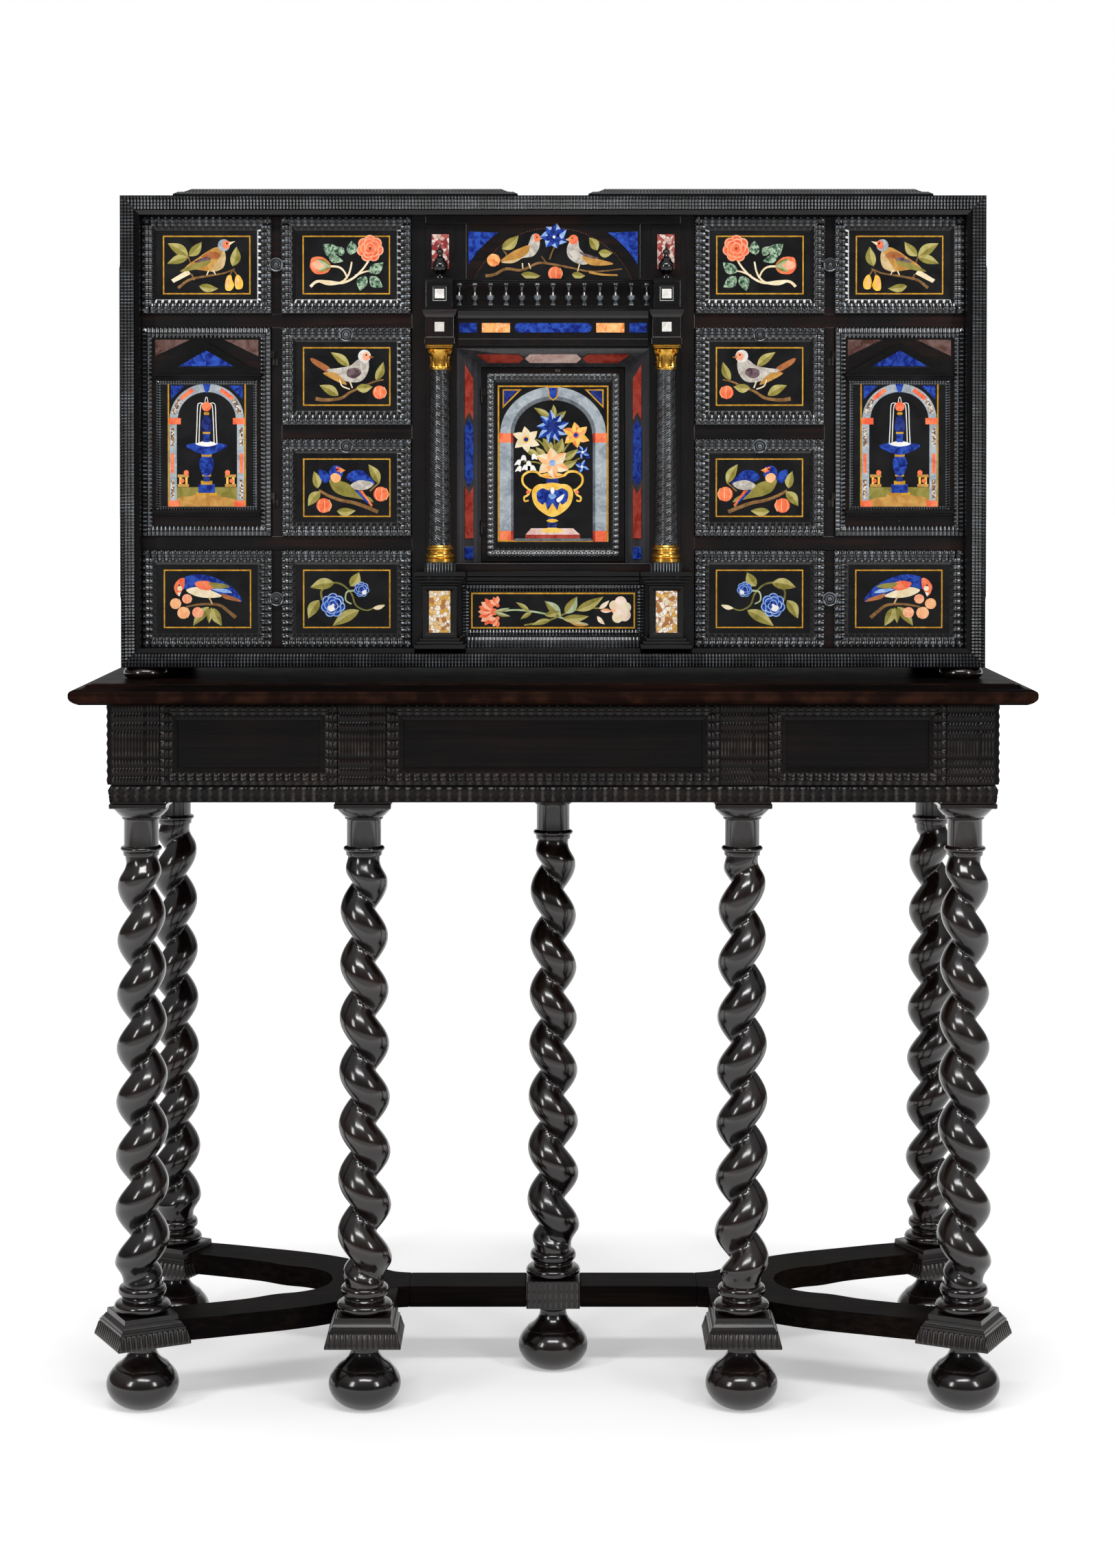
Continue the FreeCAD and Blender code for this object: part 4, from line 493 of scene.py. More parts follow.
RAISED_STRIPS = [(0.0, 0.0, 0), (0.0, 0.3, 0), (0.04, 0.36, 1), (0.3, 0.6, 1), (0.34, 0.5, 0), (0.5, 0.55, 0),
                 (0.54, 0.64, 1), (0.76, 0.82, 1), (0.78, 0.76, 0.2), (0.8, 0.86, 1), (0.97, 1.0, 1),
                 (1.0, 0.94, 0), (1.0, 0.0, 0)]
BLOCK_STRIPS = strips([(a, a + 0.058, 0.96, 1.0) for a in np.linspace(0.02, 0.6, 10)]
                      + [(a, a + 0.056, 0.8, 0.84) for a in np.linspace(0.72, 0.92, 4)], 0.06,
                      ([(0.0, 0.0, 0), (0.0, 0.7, 0)], [(1.0, 0.6, 0), (1.0, 0.0, 0)]))


# Stand
def moulded_top():
    """Top board of the stand with its moulded edge; the third value is how worn the edge is there."""
    stock = Stock()
    edge = [(40, 0, 0), (12, 0, 0.5), (6, 2.6, 0.8), (2.2, 5.6, 1), (0.4, 8.4, 1), (0, 10, 0.9),
            (0, 14.6, 0.75), (0.7, 16.4, 0.85), (2.4, 18, 0.7), (5.2, 19.2, 0.3), (9, 19.8, 0), (12, 20.1, 0),
            (15.6, 20.9, 0), (18.4, 22.4, 0.2), (20, 24.4, 0.6), (20.6, 24.9, 0.9), (25.2, 25, 0.7),
            (25.5, 26, 0.8), (40, 26, 0)]
    ripple_frame(stock, "top_wood", (-TOP_X, -TOP_Y, FRIEZE_TOP), RIGHT, BACK, UP, 2 * TOP_X, 2 * TOP_Y, edge,
                 120, 0.0, 4)
    field_x, field_y = TOP_X - 39.8, TOP_Y - 39.8
    board(stock, "top_wood", (-field_x, field_x), (-field_y, field_y), (FRIEZE_TOP, STAND_TOP), 0.05)
    stock.make("moulded_stand_top", "frame", "ebonised", "stand_top")


def frieze_mouldings():
    """Ripple frames on the frieze, ripple blocks over the front legs, and the moulding along its foot."""
    stock = Stock()
    block = 62
    corner, near, far = FRIEZE_X - block, INNER_LEG_X - block / 2, INNER_LEG_X + block / 2
    profile = sized(PANEL_STRIPS, 21, 7)
    for left, right in ((-corner, -far), (-near, near), (far, corner)):
        front_frame(stock, "frieze_wood", (left, right), (FRIEZE_BOTTOM, FRIEZE_TOP), FRIEZE_FRONT, profile,
                    11, 1.7)
    height = FRIEZE_TOP - FRIEZE_BOTTOM
    for left in (-FRIEZE_X, -far, near, corner):
        ripple_run(stock, "frieze_wood", (left, FRIEZE_FRONT, FRIEZE_BOTTOM), UP, RIGHT, -BACK, height,
                   sized(BLOCK_STRIPS, block, 5), 11.4, 1.5, (0, 0), 8, 1.6)
    for side in SIDES:
        ripple_frame(stock, "frieze_wood", (side * FRIEZE_X, FRIEZE_FRONT, FRIEZE_BOTTOM), BACK, UP,
                     RIGHT * side, -2 * FRIEZE_FRONT, height, profile, 11, 1.3)
    base = [(0, 0, 0), (0, 2.2, 0.4), (3, 2.6, 1), (8, 3.2, 1), (9, 2.4, 0.3), (10, 3.4, 1), (16, 4, 1),
            (17, 3.2, 0.2), (22, 0.6, 0), (22, 0, 0)]
    corners = [(-FRIEZE_X, FRIEZE_FRONT), (FRIEZE_X, FRIEZE_FRONT), (FRIEZE_X, -FRIEZE_FRONT),
               (-FRIEZE_X, -FRIEZE_FRONT)]
    for i, (ax, ay) in enumerate(corners):
        bx, by = corners[(i + 1) % 4]
        run = np.array([bx - ax, by - ay, 0], float)
        length = np.linalg.norm(run)
        run /= length
        ripple_run(stock, "frieze_wood", (ax, ay, BASE_BOTTOM), run, UP, (run[1], -run[0], 0), length, base,
                   13, 1.6, (0, -1))
    stock.make("frieze_ripple", "frame", "ebonised", "frieze_mouldings")


def leg(name, x, y, hand, start):
    """Leg with one fat strand that winds up it, and turned rings at its foot and head."""
    stock = Stock()
    rings, around, windings, fade = 208, 44, 8, 30
    share = np.linspace(0, 1, rings + 1)[:, None]
    ends = np.clip(np.minimum(share, 1 - share) * (TWIST_TOP - TWIST_BOTTOM) / fade, 0, 1)
    ends = ends * ends * (3 - 2 * ends)
    turn = math.radians(start) + hand * math.tau * share * windings
    angle = np.arange(around) * math.tau / around
    lobe = np.sqrt(np.cos((angle - turn) / 2) ** 2 + 0.012) ** 0.9
    core = 24.5 - 4 * share
    radius = core * (1 - ends) + (11.5 - share + (23.5 - 4.5 * share) * lobe) * ends
    height = TWIST_BOTTOM + share * (TWIST_TOP - TWIST_BOTTOM)
    points = np.stack([x + radius * np.cos(angle), y + radius * np.sin(angle),
                       np.broadcast_to(height, radius.shape)], axis=-1)
    stock.add(points, tube_faces(rings + 1, around), "leg_wood", (lobe * ends).ravel() * 0.75)
    foot = [(10, PLINTH_TOP - 15), (10, PLINTH_TOP)] + bead(26, 36, PLINTH_TOP, 15)
    foot += [(26.5, 138.5), (25.4, 140), (26.5, 142)] + bead(26, 30.5, 143, 13) + [(20, 156.6)]
    turned(stock, "leg_wood", (x, y, 0), foot, around)
    head = [(18, TWIST_TOP - 0.6), (22.4, TWIST_TOP - 0.4), (23, TWIST_TOP + 0.8), (23, 708.6)]
    head += bead(22, 26.5, 709, 7) + [(22, 717), (22, 748), (23, 750), (24.6, 750.6), (24.6, 753),
                                      (26, 753.6)]
    head += [(28.6, 756), (32.4, 760), (34.6, 763), (35, 766), (10, 766), (10, 805)]
    turned(stock, "leg_wood", (x, y, 0), head, around)
    board(stock, "leg_wood", (x - 36, x + 36), (y - 36, y + 36), (LEG_TOP, 772.5), 1.0)
    board(stock, "leg_wood", (x - 34.6, x + 34.6), (y - 34.6, y + 34.6), (772.5, BASE_BOTTOM), 0.5)
    stock.make("turned_leg_" + name, "frame", "ebonised", "leg_" + name)


def plinths_and_feet():
    """Rippled plinth and bun foot under each leg; the corner plinths are turned to their stretchers."""
    stock, feet = Stock(), Stock()
    for name, (x, y, _, _) in LEGS.items():
        middle = name == "middle"
        half = 35.5 if middle else 41.5
        turn = math.radians(27) * math.copysign(1, x * y) if abs(x) == LEG_X else 0
        u, v = directions(turn)
        at = np.array([x, y, PLINTH_BOTTOM], float)
        profile = [(0, -9, 0), (0, 6.2, 0.2), (1, 7, 1), (4, 6.6, 1), (11, 4, 1), (17, 2.6, 1), (18, 1, 0),
                   (19, 1.6, 0), (21.6, 1, 0), (22, -0.6, 0), (24.6, -1, 0), (25, -2.4, 0), (28, -4, 0),
                   (30, -6, 0), (36, -6.6, 0), (36, -9, 0)]
        if middle:
            profile = [(0, -3, 0), (0, -0.6, 0.3), (1, 0, 1), (11, 0, 1), (12, -0.8, 0.3), (13, 0, 1),
                       (23, 0, 1), (24, -0.8, 0.3), (25, 0, 1), (35, 0, 1), (36, -0.6, 0), (36, -3, 0)]
        for a, b in ((u, v), (v, -u), (-u, -v), (-v, u)):
            ripple_run(stock, "stand_wood", at - a * half - b * half, a, UP, -b, 2 * half, profile, 7, 1.4,
                       (0, -1))
        inner = half - (2.6 if middle else 8)
        ring = [at + u * inner * p + v * inner * q for p, q in ((-1, -1), (1, -1), (1, 1), (-1, 1))]
        prism(stock, "stand_wood", ring, UP * (PLINTH_TOP - PLINTH_BOTTOM))
        ball = [(17, 0), (20.5, 0.5)]
        ball += [(46 * math.sin(t), 30 - 33 * math.cos(t)) for t in np.linspace(0.5, 2.26, 22)]
        foot = ball + [(34.4, 51.4), (34.8, 52.6), (33.4, 54.2), (29, 57), (24.6, 60.6), (20.6, 65.2),
                       (18, 70.4), (17.2, 75), (18.8, 78.2), (22, 79.6)]
        foot += bead(22.6, 24, 80, 5.6, 6) + [(10, 86), (10, 96)]
        turned(feet, "leg_wood", (x, y, 0), foot, 48)
    stock.make("rippled_plinths", "frame", "ebonised", "plinths")
    feet.make("turned_bun_feet", "frame", "ebonised", "bun_feet")


def stretcher(side):
    """Forked stretcher of one end, its curved edges in one sweep from the bar to the plinths."""
    outer = smooth([190, 33, 214, 40, 240, 66, 270, 95, 306, 119, 350, 139, 400, 157, 460, 178, 523, 194])
    inner = smooth([523, 134, 460, 113, 400, 90, 364, 69, 333, 58, 311, 43, 298, 24, 293, 0])[:-1]
    half = np.concatenate([outer, inner])
    plan = np.concatenate([half * (1, -1), [(293, 0)], half[::-1]])
    stock = Stock()
    prism(stock, "stretcher_wood", [(side * px, py, STRETCHER_BOTTOM) for px, py in plan],
          UP * STRETCHER_THICK)
    stub = (STRETCHER_BOTTOM + 0.2, STRETCHER_BOTTOM + STRETCHER_THICK - 0.2)
    board(stock, "stretcher_wood", (side * (INNER_LEG_X - 36), side * (INNER_LEG_X + 36)), (-126, -30),
          stub, 0.4)
    piece = stock.make("swept_stretcher_" + WORDS[side], "frame", "ebonised", "stretcher_" + WORDS[side],
                       angle=50)
    ease_edges(piece, 1.6)


# Case
def case_mouldings():
    """Ripple frame round the front, and the raised panels on the top and sides."""
    stock = Stock()
    front_frame(stock, "case_wood", (-CASE_X, CASE_X), (CASE_BOTTOM, CASE_TOP), BOARD_FRONT,
                sized(CASE_STRIPS, 24, 9), 4.2, 1.0, 6)
    stock.make("case_ripple_frame", "frame", "ebony", "case_frame")
    stock = Stock()
    plates = [((left, -135, CASE_TOP), RIGHT, BACK, UP, 440, 340, 12) for left in (-485, 45)]
    plates += [((side * CASE_X, -115, 1008), BACK, UP, RIGHT * side, 300, 466, 10) for side in SIDES]
    for corner, u, v, out, width, height, reach in plates:
        ripple_frame(stock, "case_wood", corner, u, v, out, width, height, sized(RAISED_STRIPS, 22, reach),
                     4.2, 0.6, 4)
        low = np.array(corner, float) + (u + v) * 21
        wide, tall = u * (width - 42), v * (height - 42)
        prism(stock, "ebony_board", [low, low + wide, low + wide + tall, low + tall], out * (reach - 0.4))
    stock.make("raised_ripple_panels", "frame", "ebony", "raised_panels")


# Inlay
def smooth(points, closed=False, steps=6):
    """Smooth line through points."""
    p = np.asarray(points, float).reshape(-1, 2)
    count = len(p) if closed else len(p) - 1
    line = []
    for i in range(count):
        if closed:
            a, b, c, d = (p[(i + k) % len(p)] for k in (-1, 0, 1, 2))
        else:
            a, b, c, d = (p[min(max(i + k, 0), len(p) - 1)] for k in (-1, 0, 1, 2))
        for t in np.arange(steps) / steps:
            line.append(0.5 * (2 * b + (c - a) * t + (2 * a - 5 * b + 4 * c - d) * t * t
                               + (3 * b - a - 3 * c + d) * t ** 3))
    if not closed:
        line.append(p[-1])
    return np.array(line)


def ribbon(points, first, last):
    """Outline of a stem that tapers from the first width to the last."""
    line = smooth(points)
    ahead = np.gradient(line, axis=0)
    across = np.column_stack([-ahead[:, 1], ahead[:, 0]])
    across /= np.maximum(np.linalg.norm(across, axis=1), 1e-6)[:, None]
    half = np.linspace(first, last, len(line))[:, None] / 2
    return np.concatenate([line + across * half, (line - across * half)[::-1]])


def leaf_halves(base, tip, width, bow=0.12):
    """Outlines of the two halves of a leaf, one each side of its rib."""
    base, tip = np.array(base, float), np.array(tip, float)
    ahead = tip - base
    across = np.array([-ahead[1], ahead[0]])
    across /= np.linalg.norm(across)
    t = np.linspace(0, 1, 11)
    rib = base + t[:, None] * ahead + (np.sin(math.pi * t) * bow * width)[:, None] * across
    swell = (np.sin(math.pi * t ** 0.82) * width / 2)[1:-1, None] * across
    return [np.concatenate([rib, (rib[1:-1] + side * swell)[::-1]]) for side in SIDES]


def petal(centre, angle, length, width):
    """Outline of a petal that widens away from the flower's middle."""
    t = np.linspace(0, 1, 9)
    swell = np.sin(math.pi * t ** 1.5) * width / 2 + 0.02 * width
    left = np.column_stack([t * length, swell])
    right = np.column_stack([t * length, -swell])[::-1]
    points = np.concatenate([left, right])
    turn = np.array([[math.cos(angle), -math.sin(angle)], [math.sin(angle), math.cos(angle)]])
    return points @ turn.T + centre


def shapes_of(item):
    """Outlines and finishes of one item of an inlaid picture, in the picture's own units."""
    kind, *rest = item
    if kind == "stem":
        finish, first, last, *points = rest
        return [(ribbon(points, first, last), finish)]
    if kind == "blob":
        return [(smooth(rest[1:], True), rest[0])]
    if kind == "facet":
        return [(np.array(rest[1:], float).reshape(-1, 2), rest[0])]
    if kind == "disc":
        finish, x, y, r = rest
        angle = np.arange(24) * math.tau / 24
        return [(np.column_stack([x + r * np.cos(angle), y + r * np.sin(angle)]), finish)]
    if kind == "fruit":
        finish, shade, x, y, r = rest
        found = shapes_of(("disc", finish, x, y, r))
        for a in (-0.5, 0.1, 0.7):
            ends = [x + a * r, y - r * 0.8, x + a * r * 1.5, y, x + a * r, y + r * 0.8]
            found.append((ribbon(ends, r * 0.1, r * 0.1), shade))
        return found
    if kind == "leaf":
        width, x0, y0, x1, y1, *tones = rest
        dark, light = (tones * 2)[:2] or ("olive", "olive_pale")
        halves = leaf_halves((x0, y0), (x1, y1), width)
        return [(halves[0], dark), (halves[1], light)]
    if kind == "star":
        finish, second, heart, x, y, r, petals, width = rest
        found = []
        for i in range(petals):
            angle = 0.4 + math.tau * i / petals
            length = r * (1.0, 0.9, 0.96)[i % 3]
            halves = leaf_halves((x, y), (x + length * math.cos(angle), y + length * math.sin(angle)),
                                 width * r, 0.08)
            found += [(halves[0], finish), (halves[1], second)]
        return found + shapes_of(("disc", heart, x, y, r * 0.18))
    if kind == "rose":
        finish, second, heart, x, y, r = rest
        found = []
        for count, out, size, turn in ((7, 0.6, 0.42, 0.2), (5, 0.36, 0.4, 0.7), (3, 0.16, 0.3, 0.4)):
            for i in range(count):
                angle = turn + math.tau * i / count
                at = (x + out * r * math.cos(angle), y + out * r * math.sin(angle))
                found += shapes_of(("disc", second, *at, size * r)) + shapes_of(
                    ("disc", finish, at[0] - 0.05 * r * math.cos(angle), at[1] - 0.05 * r * math.sin(angle),
                     size * r * 0.88))
        return found + shapes_of(("disc", heart, x, y, r * 0.12))
    finish, second, heart, x, y, r, petals, *arc = rest
    start, sweep = arc or (0.3, math.tau)
    found = []
    for i in range(petals):
        angle = start + sweep * i / (petals if sweep == math.tau else petals - 1)
        width = r * min(1.1, 1.25 * sweep / petals)
        found.append((petal((x, y), angle, r, width), finish if i % 2 == 0 else second))
    return found + shapes_of(("disc", heart, x, y, r * 0.2))


def inlay(stock, picture, at, origin, scale, mirror=1):
    """Lets a picture into a slate; at is its middle on the slate, origin the same point in its own units."""
    lift = 0.1
    for item in picture:
        for outline, finish in shapes_of(item):
            u = (outline[:, 0] - origin[0]) / scale * mirror
            v = (origin[1] - outline[:, 1]) / scale
            points = np.column_stack([at[0] + u, np.full(len(u), at[1] + 0.3), at[2] + v])
            prism(stock, finish, points, -BACK * (0.3 + lift))
            lift += 0.012


def gold_border(stock, x, z, y, width=1.7):
    """Thin gold line let into the slate round a picture."""
    x0, x1 = min(x), max(x)
    z0, z1 = min(z), max(z)
    for span, rise in (((x0, x1), (z0, z0 + width)), ((x0, x1), (z1 - width, z1)),
                       ((x0, x0 + width), (z0 + width, z1 - width)),
                       ((x1 - width, x1), (z0 + width, z1 - width))):
        board(stock, "gold_line", span, (y - 0.2, y + 0.3), rise, 0.05)


# Pictures, each with its middle and its items in its own units; a scale is units to the millimetre
PICTURE_SCALE, VASE_SCALE = 2.463, 2.44
BIRD_ON_PEAR = ((286, 272), [
    ("stem", "umber", 9, 4, 196, 344, 232, 318, 290, 306, 338, 298, 374, 284),
    ("stem", "umber", 6, 4, 238, 300, 247, 320), ("stem", "umber", 5, 3, 366, 290, 356, 310),
    ("stem", "umber", 5, 3, 370, 288, 384, 308), ("stem", "umber", 4, 3, 228, 246, 240, 280),
    ("leaf", 34, 228, 246, 163, 204), ("leaf", 28, 228, 248, 162, 268), ("leaf", 30, 230, 244, 270, 199),
    ("leaf", 32, 368, 276, 380, 214, "olive_pale", "olive"), ("leaf", 26, 262, 338, 322, 346),
    ("blob", "yellow_stone", 344, 330, 350, 308, 362, 304, 366, 318, 372, 336, 362, 352, 346, 350),
    ("blob", "yellow_stone", 374, 322, 380, 304, 390, 306, 400, 326, 396, 346, 378, 346),
    ("blob", "peach", 346, 332, 352, 312, 358, 318, 354, 344),
    ("blob", "peach", 378, 324, 384, 310, 388, 322, 382, 340),
    ("facet", "cream", 174, 318, 182, 328, 236, 300, 226, 286),
    ("blob", "ochre", 214, 290, 250, 286, 300, 292, 336, 282, 346, 250, 340, 228, 318, 216, 290, 228,
     258, 250, 226, 272), ("blob", "tan", 300, 292, 336, 282, 346, 250, 340, 228, 326, 250),
    ("blob", "rust", 268, 246, 300, 230, 328, 236, 322, 252, 290, 250),
    ("blob", "plum", 246, 262, 280, 248, 300, 254, 270, 266),
    ("blob", "olive", 202, 292, 246, 268, 298, 258, 280, 276, 240, 288), ("disc", "grey_stone", 340, 210, 19),
    ("blob", "coral", 338, 200, 354, 196, 360, 208, 348, 222, 338, 216),
    ("facet", "cream", 356, 200, 376, 197, 358, 210), ("disc", "slate", 350, 204, 3),
    ("stem", "cream", 4, 3, 292, 290, 286, 304), ("stem", "cream", 4, 3, 306, 288, 314, 302)])
ROSE_SPRAY = ((725, 270), [
    ("stem", "cream", 9, 5, 612, 338, 632, 322, 668, 322, 712, 326, 748, 310, 774, 286, 794, 258, 802, 236),
    ("stem", "cream", 8, 5, 640, 320, 668, 330, 704, 326, 724, 312, 736, 290, 742, 260),
    ("stem", "cream", 7, 5, 668, 274, 700, 276, 718, 290, 728, 312),
    ("stem", "cream", 6, 4, 752, 304, 780, 292, 800, 288),
    ("rose", "coral", "coral_pale", "jasper", 800, 218, 42),
    ("blob", "coral", 612, 262, 620, 246, 652, 246, 676, 270, 664, 294, 630, 298, 612, 280),
    ("blob", "coral_pale", 616, 264, 640, 256, 656, 270, 640, 284, 618, 280),
    ("leaf", 16, 676, 274, 630, 250, "pale_green", "olive"),
    ("leaf", 16, 676, 276, 634, 292, "olive", "pale_green"), ("leaf", 40, 690, 246, 652, 204, "leaf_spotted"),
    ("leaf", 26, 716, 240, 690, 212, "leaf_spotted"), ("leaf", 34, 738, 238, 742, 194, "leaf_spotted"),
    ("leaf", 26, 668, 240, 716, 258, "leaf_spotted"), ("leaf", 34, 796, 292, 842, 262, "leaf_spotted"),
    ("leaf", 34, 800, 306, 840, 340, "leaf_spotted"), ("leaf", 34, 786, 304, 768, 352, "leaf_spotted")])
DOVE_ON_BRANCH = ((730, 624), [
    ("stem", "umber", 12, 4, 632, 694, 664, 698, 712, 692, 744, 672, 790, 652, 818, 640, 846, 634),
    ("leaf", 28, 738, 592, 680, 548), ("leaf", 30, 704, 684, 644, 652), ("leaf", 28, 760, 660, 812, 656),
    ("leaf", 26, 822, 636, 846, 578, "olive_pale", "olive"),
    ("blob", "rust", 616, 568, 632, 570, 676, 596, 672, 612, 628, 586),
    ("blob", "dove_grey", 668, 604, 700, 598, 740, 590, 764, 572, 790, 560, 800, 580, 796, 612, 776, 638,
     744, 642, 704, 630), ("blob", "ochre", 656, 614, 690, 612, 714, 628, 730, 650, 700, 640),
    ("blob", "plum", 734, 602, 764, 598, 776, 614, 754, 630, 732, 622), ("disc", "pearl", 786, 560, 20),
    ("blob", "coral_pale", 782, 552, 798, 548, 804, 562, 794, 574, 782, 570),
    ("facet", "rust", 802, 558, 816, 563, 802, 568), ("disc", "slate", 792, 556, 3),
    ("stem", "cream", 4, 4, 708, 634, 716, 654, 740, 664), ("stem", "cream", 4, 4, 740, 640, 748, 660),
    ("fruit", "coral", "peach", 833, 674, 21)])
GREEN_BIRD = ((728, 974), [
    ("stem", "umber", 8, 12, 640, 982, 672, 1000, 712, 1014, 760, 1024, 826, 1050),
    ("stem", "umber", 6, 4, 800, 985, 816, 970, 830, 958), ("leaf", 28, 636, 976, 624, 922),
    ("leaf", 32, 644, 986, 606, 1032), ("leaf", 26, 696, 1048, 756, 1046), ("leaf", 30, 830, 960, 796, 900),
    ("fruit", "coral", "peach", 655, 1030, 23), ("fruit", "coral", "peach", 835, 994, 23),
    ("blob", "olive", 672, 944, 700, 950, 734, 962, 770, 990, 800, 1004, 812, 1020, 790, 1014, 750, 1006,
     712, 998, 684, 980), ("stem", "rust", 8, 5, 766, 980, 790, 1010, 806, 1034),
    ("stem", "lapis", 8, 5, 756, 980, 780, 1006, 796, 1022),
    ("stem", "coral", 7, 4, 774, 984, 794, 1012, 808, 1030),
    ("blob", "lapis", 726, 944, 744, 922, 776, 920, 800, 940, 816, 962, 790, 964, 760, 960),
    ("blob", "dove_grey", 740, 966, 770, 950, 812, 960, 794, 978, 760, 980),
    ("blob", "lapis", 640, 918, 664, 924, 676, 946, 660, 960, 644, 944), ("disc", "lapis", 694, 926, 22),
    ("blob", "peach", 676, 940, 688, 928, 706, 934, 708, 950, 690, 958),
    ("blob", "coral", 694, 908, 706, 912, 708, 924, 698, 922),
    ("facet", "agate", 706, 910, 724, 919, 708, 928), ("disc", "slate", 698, 916, 3)])
BLUE_BIRD = ((295, 1327), [
    ("stem", "umber", 5, 12, 228, 1352, 276, 1344, 330, 1346, 360, 1366, 384, 1386),
    ("leaf", 30, 300, 1352, 250, 1412), ("leaf", 30, 314, 1356, 340, 1412),
    ("leaf", 20, 308, 1354, 300, 1404, "olive_pale", "olive"),
    ("fruit", "peach", "coral_pale", 194, 1342, 17), ("fruit", "coral_pale", "peach", 230, 1327, 15),
    ("fruit", "peach", "coral_pale", 219, 1371, 19), ("fruit", "coral_pale", "peach", 264, 1370, 17),
    ("blob", "lapis", 206, 1290, 220, 1262, 256, 1250, 300, 1254, 344, 1272, 380, 1296, 404, 1330, 392, 1336,
     350, 1318, 300, 1300, 256, 1290, 226, 1296),
    ("blob", "cream", 228, 1300, 258, 1290, 300, 1298, 340, 1318, 300, 1324, 258, 1318),
    ("blob", "coral", 256, 1276, 290, 1270, 320, 1284, 300, 1300, 268, 1294),
    ("blob", "olive", 300, 1276, 348, 1280, 364, 1290, 320, 1294),
    ("blob", "sky", 310, 1296, 352, 1296, 372, 1308, 336, 1306),
    ("blob", "rust", 340, 1310, 390, 1326, 398, 1336, 350, 1326),
    ("blob", "coral", 196, 1310, 190, 1288, 204, 1266, 222, 1262, 222, 1288, 212, 1306, 206, 1318),
    ("disc", "cream", 208, 1294, 8), ("facet", "white_stone", 200, 1308, 212, 1306, 206, 1320),
    ("disc", "slate", 206, 1284, 3), ("stem", "tan", 5, 4, 300, 1322, 310, 1342)])
BLUE_FLOWER = ((737, 1326), [
    ("stem", "olive_dark", 7, 4, 660, 1330, 658, 1300, 690, 1276, 724, 1282, 752, 1310, 766, 1346, 800, 1362,
     836, 1348, 856, 1344), ("stem", "pale_green", 6, 4, 766, 1300, 738, 1304, 734, 1330, 752, 1342),
    ("leaf", 34, 650, 1330, 616, 1388), ("leaf", 36, 698, 1276, 622, 1290),
    ("leaf", 34, 748, 1286, 776, 1242), ("leaf", 36, 776, 1362, 692, 1412),
    ("leaf", 14, 820, 1356, 858, 1346, "cream"), ("rose", "lapis", "sky", "white_stone", 694, 1346, 38),
    ("blob", "white_stone", 676, 1352, 690, 1346, 700, 1360, 684, 1366),
    ("rose", "lapis", "sky", "lapis_dark", 784, 1296, 24),
    ("blob", "white_stone", 786, 1302, 798, 1298, 798, 1310, 788, 1312)])


# Drawers and doors
def knob(stock, x, z):
    """Turned knob with a button; its rim and rings are lightened, as rubbed wear and as a painted highlight.
    """
    around = 28
    profile = [(4, 0), (4, 7.6), (8.4, 8), (9, 8.6), (9, 9.6), (8.2, 10.4), (7, 9.7), (6, 9.8), (5.4, 10.8),
               (4.6, 11.6), (3.6, 11.2), (3, 11.6), (2.8, 13), (2.2, 14.4), (1.2, 15)]
    # Raised marks on the rim and rings: there the knob finish lays its painted highlight colour.
    wear_and_glint = np.repeat([0, 0, 0, 0.8, 0.9, 0.95, 0, 0, 0.7, 0.95, 0, 0, 0.8, 0.9, 0.7], around)
    turned(stock, "knob_wood", (x, FACE, z), profile, around, True, wear_and_glint)


def drawer_box(stock, x, z, front):
    """Front board, two sides, back and bottom of a drawer."""
    side, lining, lower = 8, 6, 6
    left, right = min(x) + SIDE_GAP, max(x) - SIDE_GAP
    bottom, top = min(z) + REST_GAP, max(z) - SIDE_GAP
    back = front + 14
    board(stock, "ebony_board", (left, right), (front, back), (bottom, top), 0.4)
    for a, b in ((left, left + side), (right - side, right)):
        board(stock, "lining_wood", (a, b), (back, LINING_BACK), (bottom, top - lower), 0.8)
    inside = (left + side, right - side)
    board(stock, "lining_wood", inside, (LINING_BACK - side, LINING_BACK), (bottom, top - lower), 0.8)
    board(stock, "lining_wood", inside, (back, LINING_BACK - side), (bottom, bottom + lining), 0.2)


BANK_PICTURES = {"top": (ROSE_SPRAY, BIRD_ON_PEAR), "upper": (DOVE_ON_BRANCH,), "lower": (GREEN_BIRD,),
                 "bottom": (BLUE_FLOWER, BLUE_BIRD)}


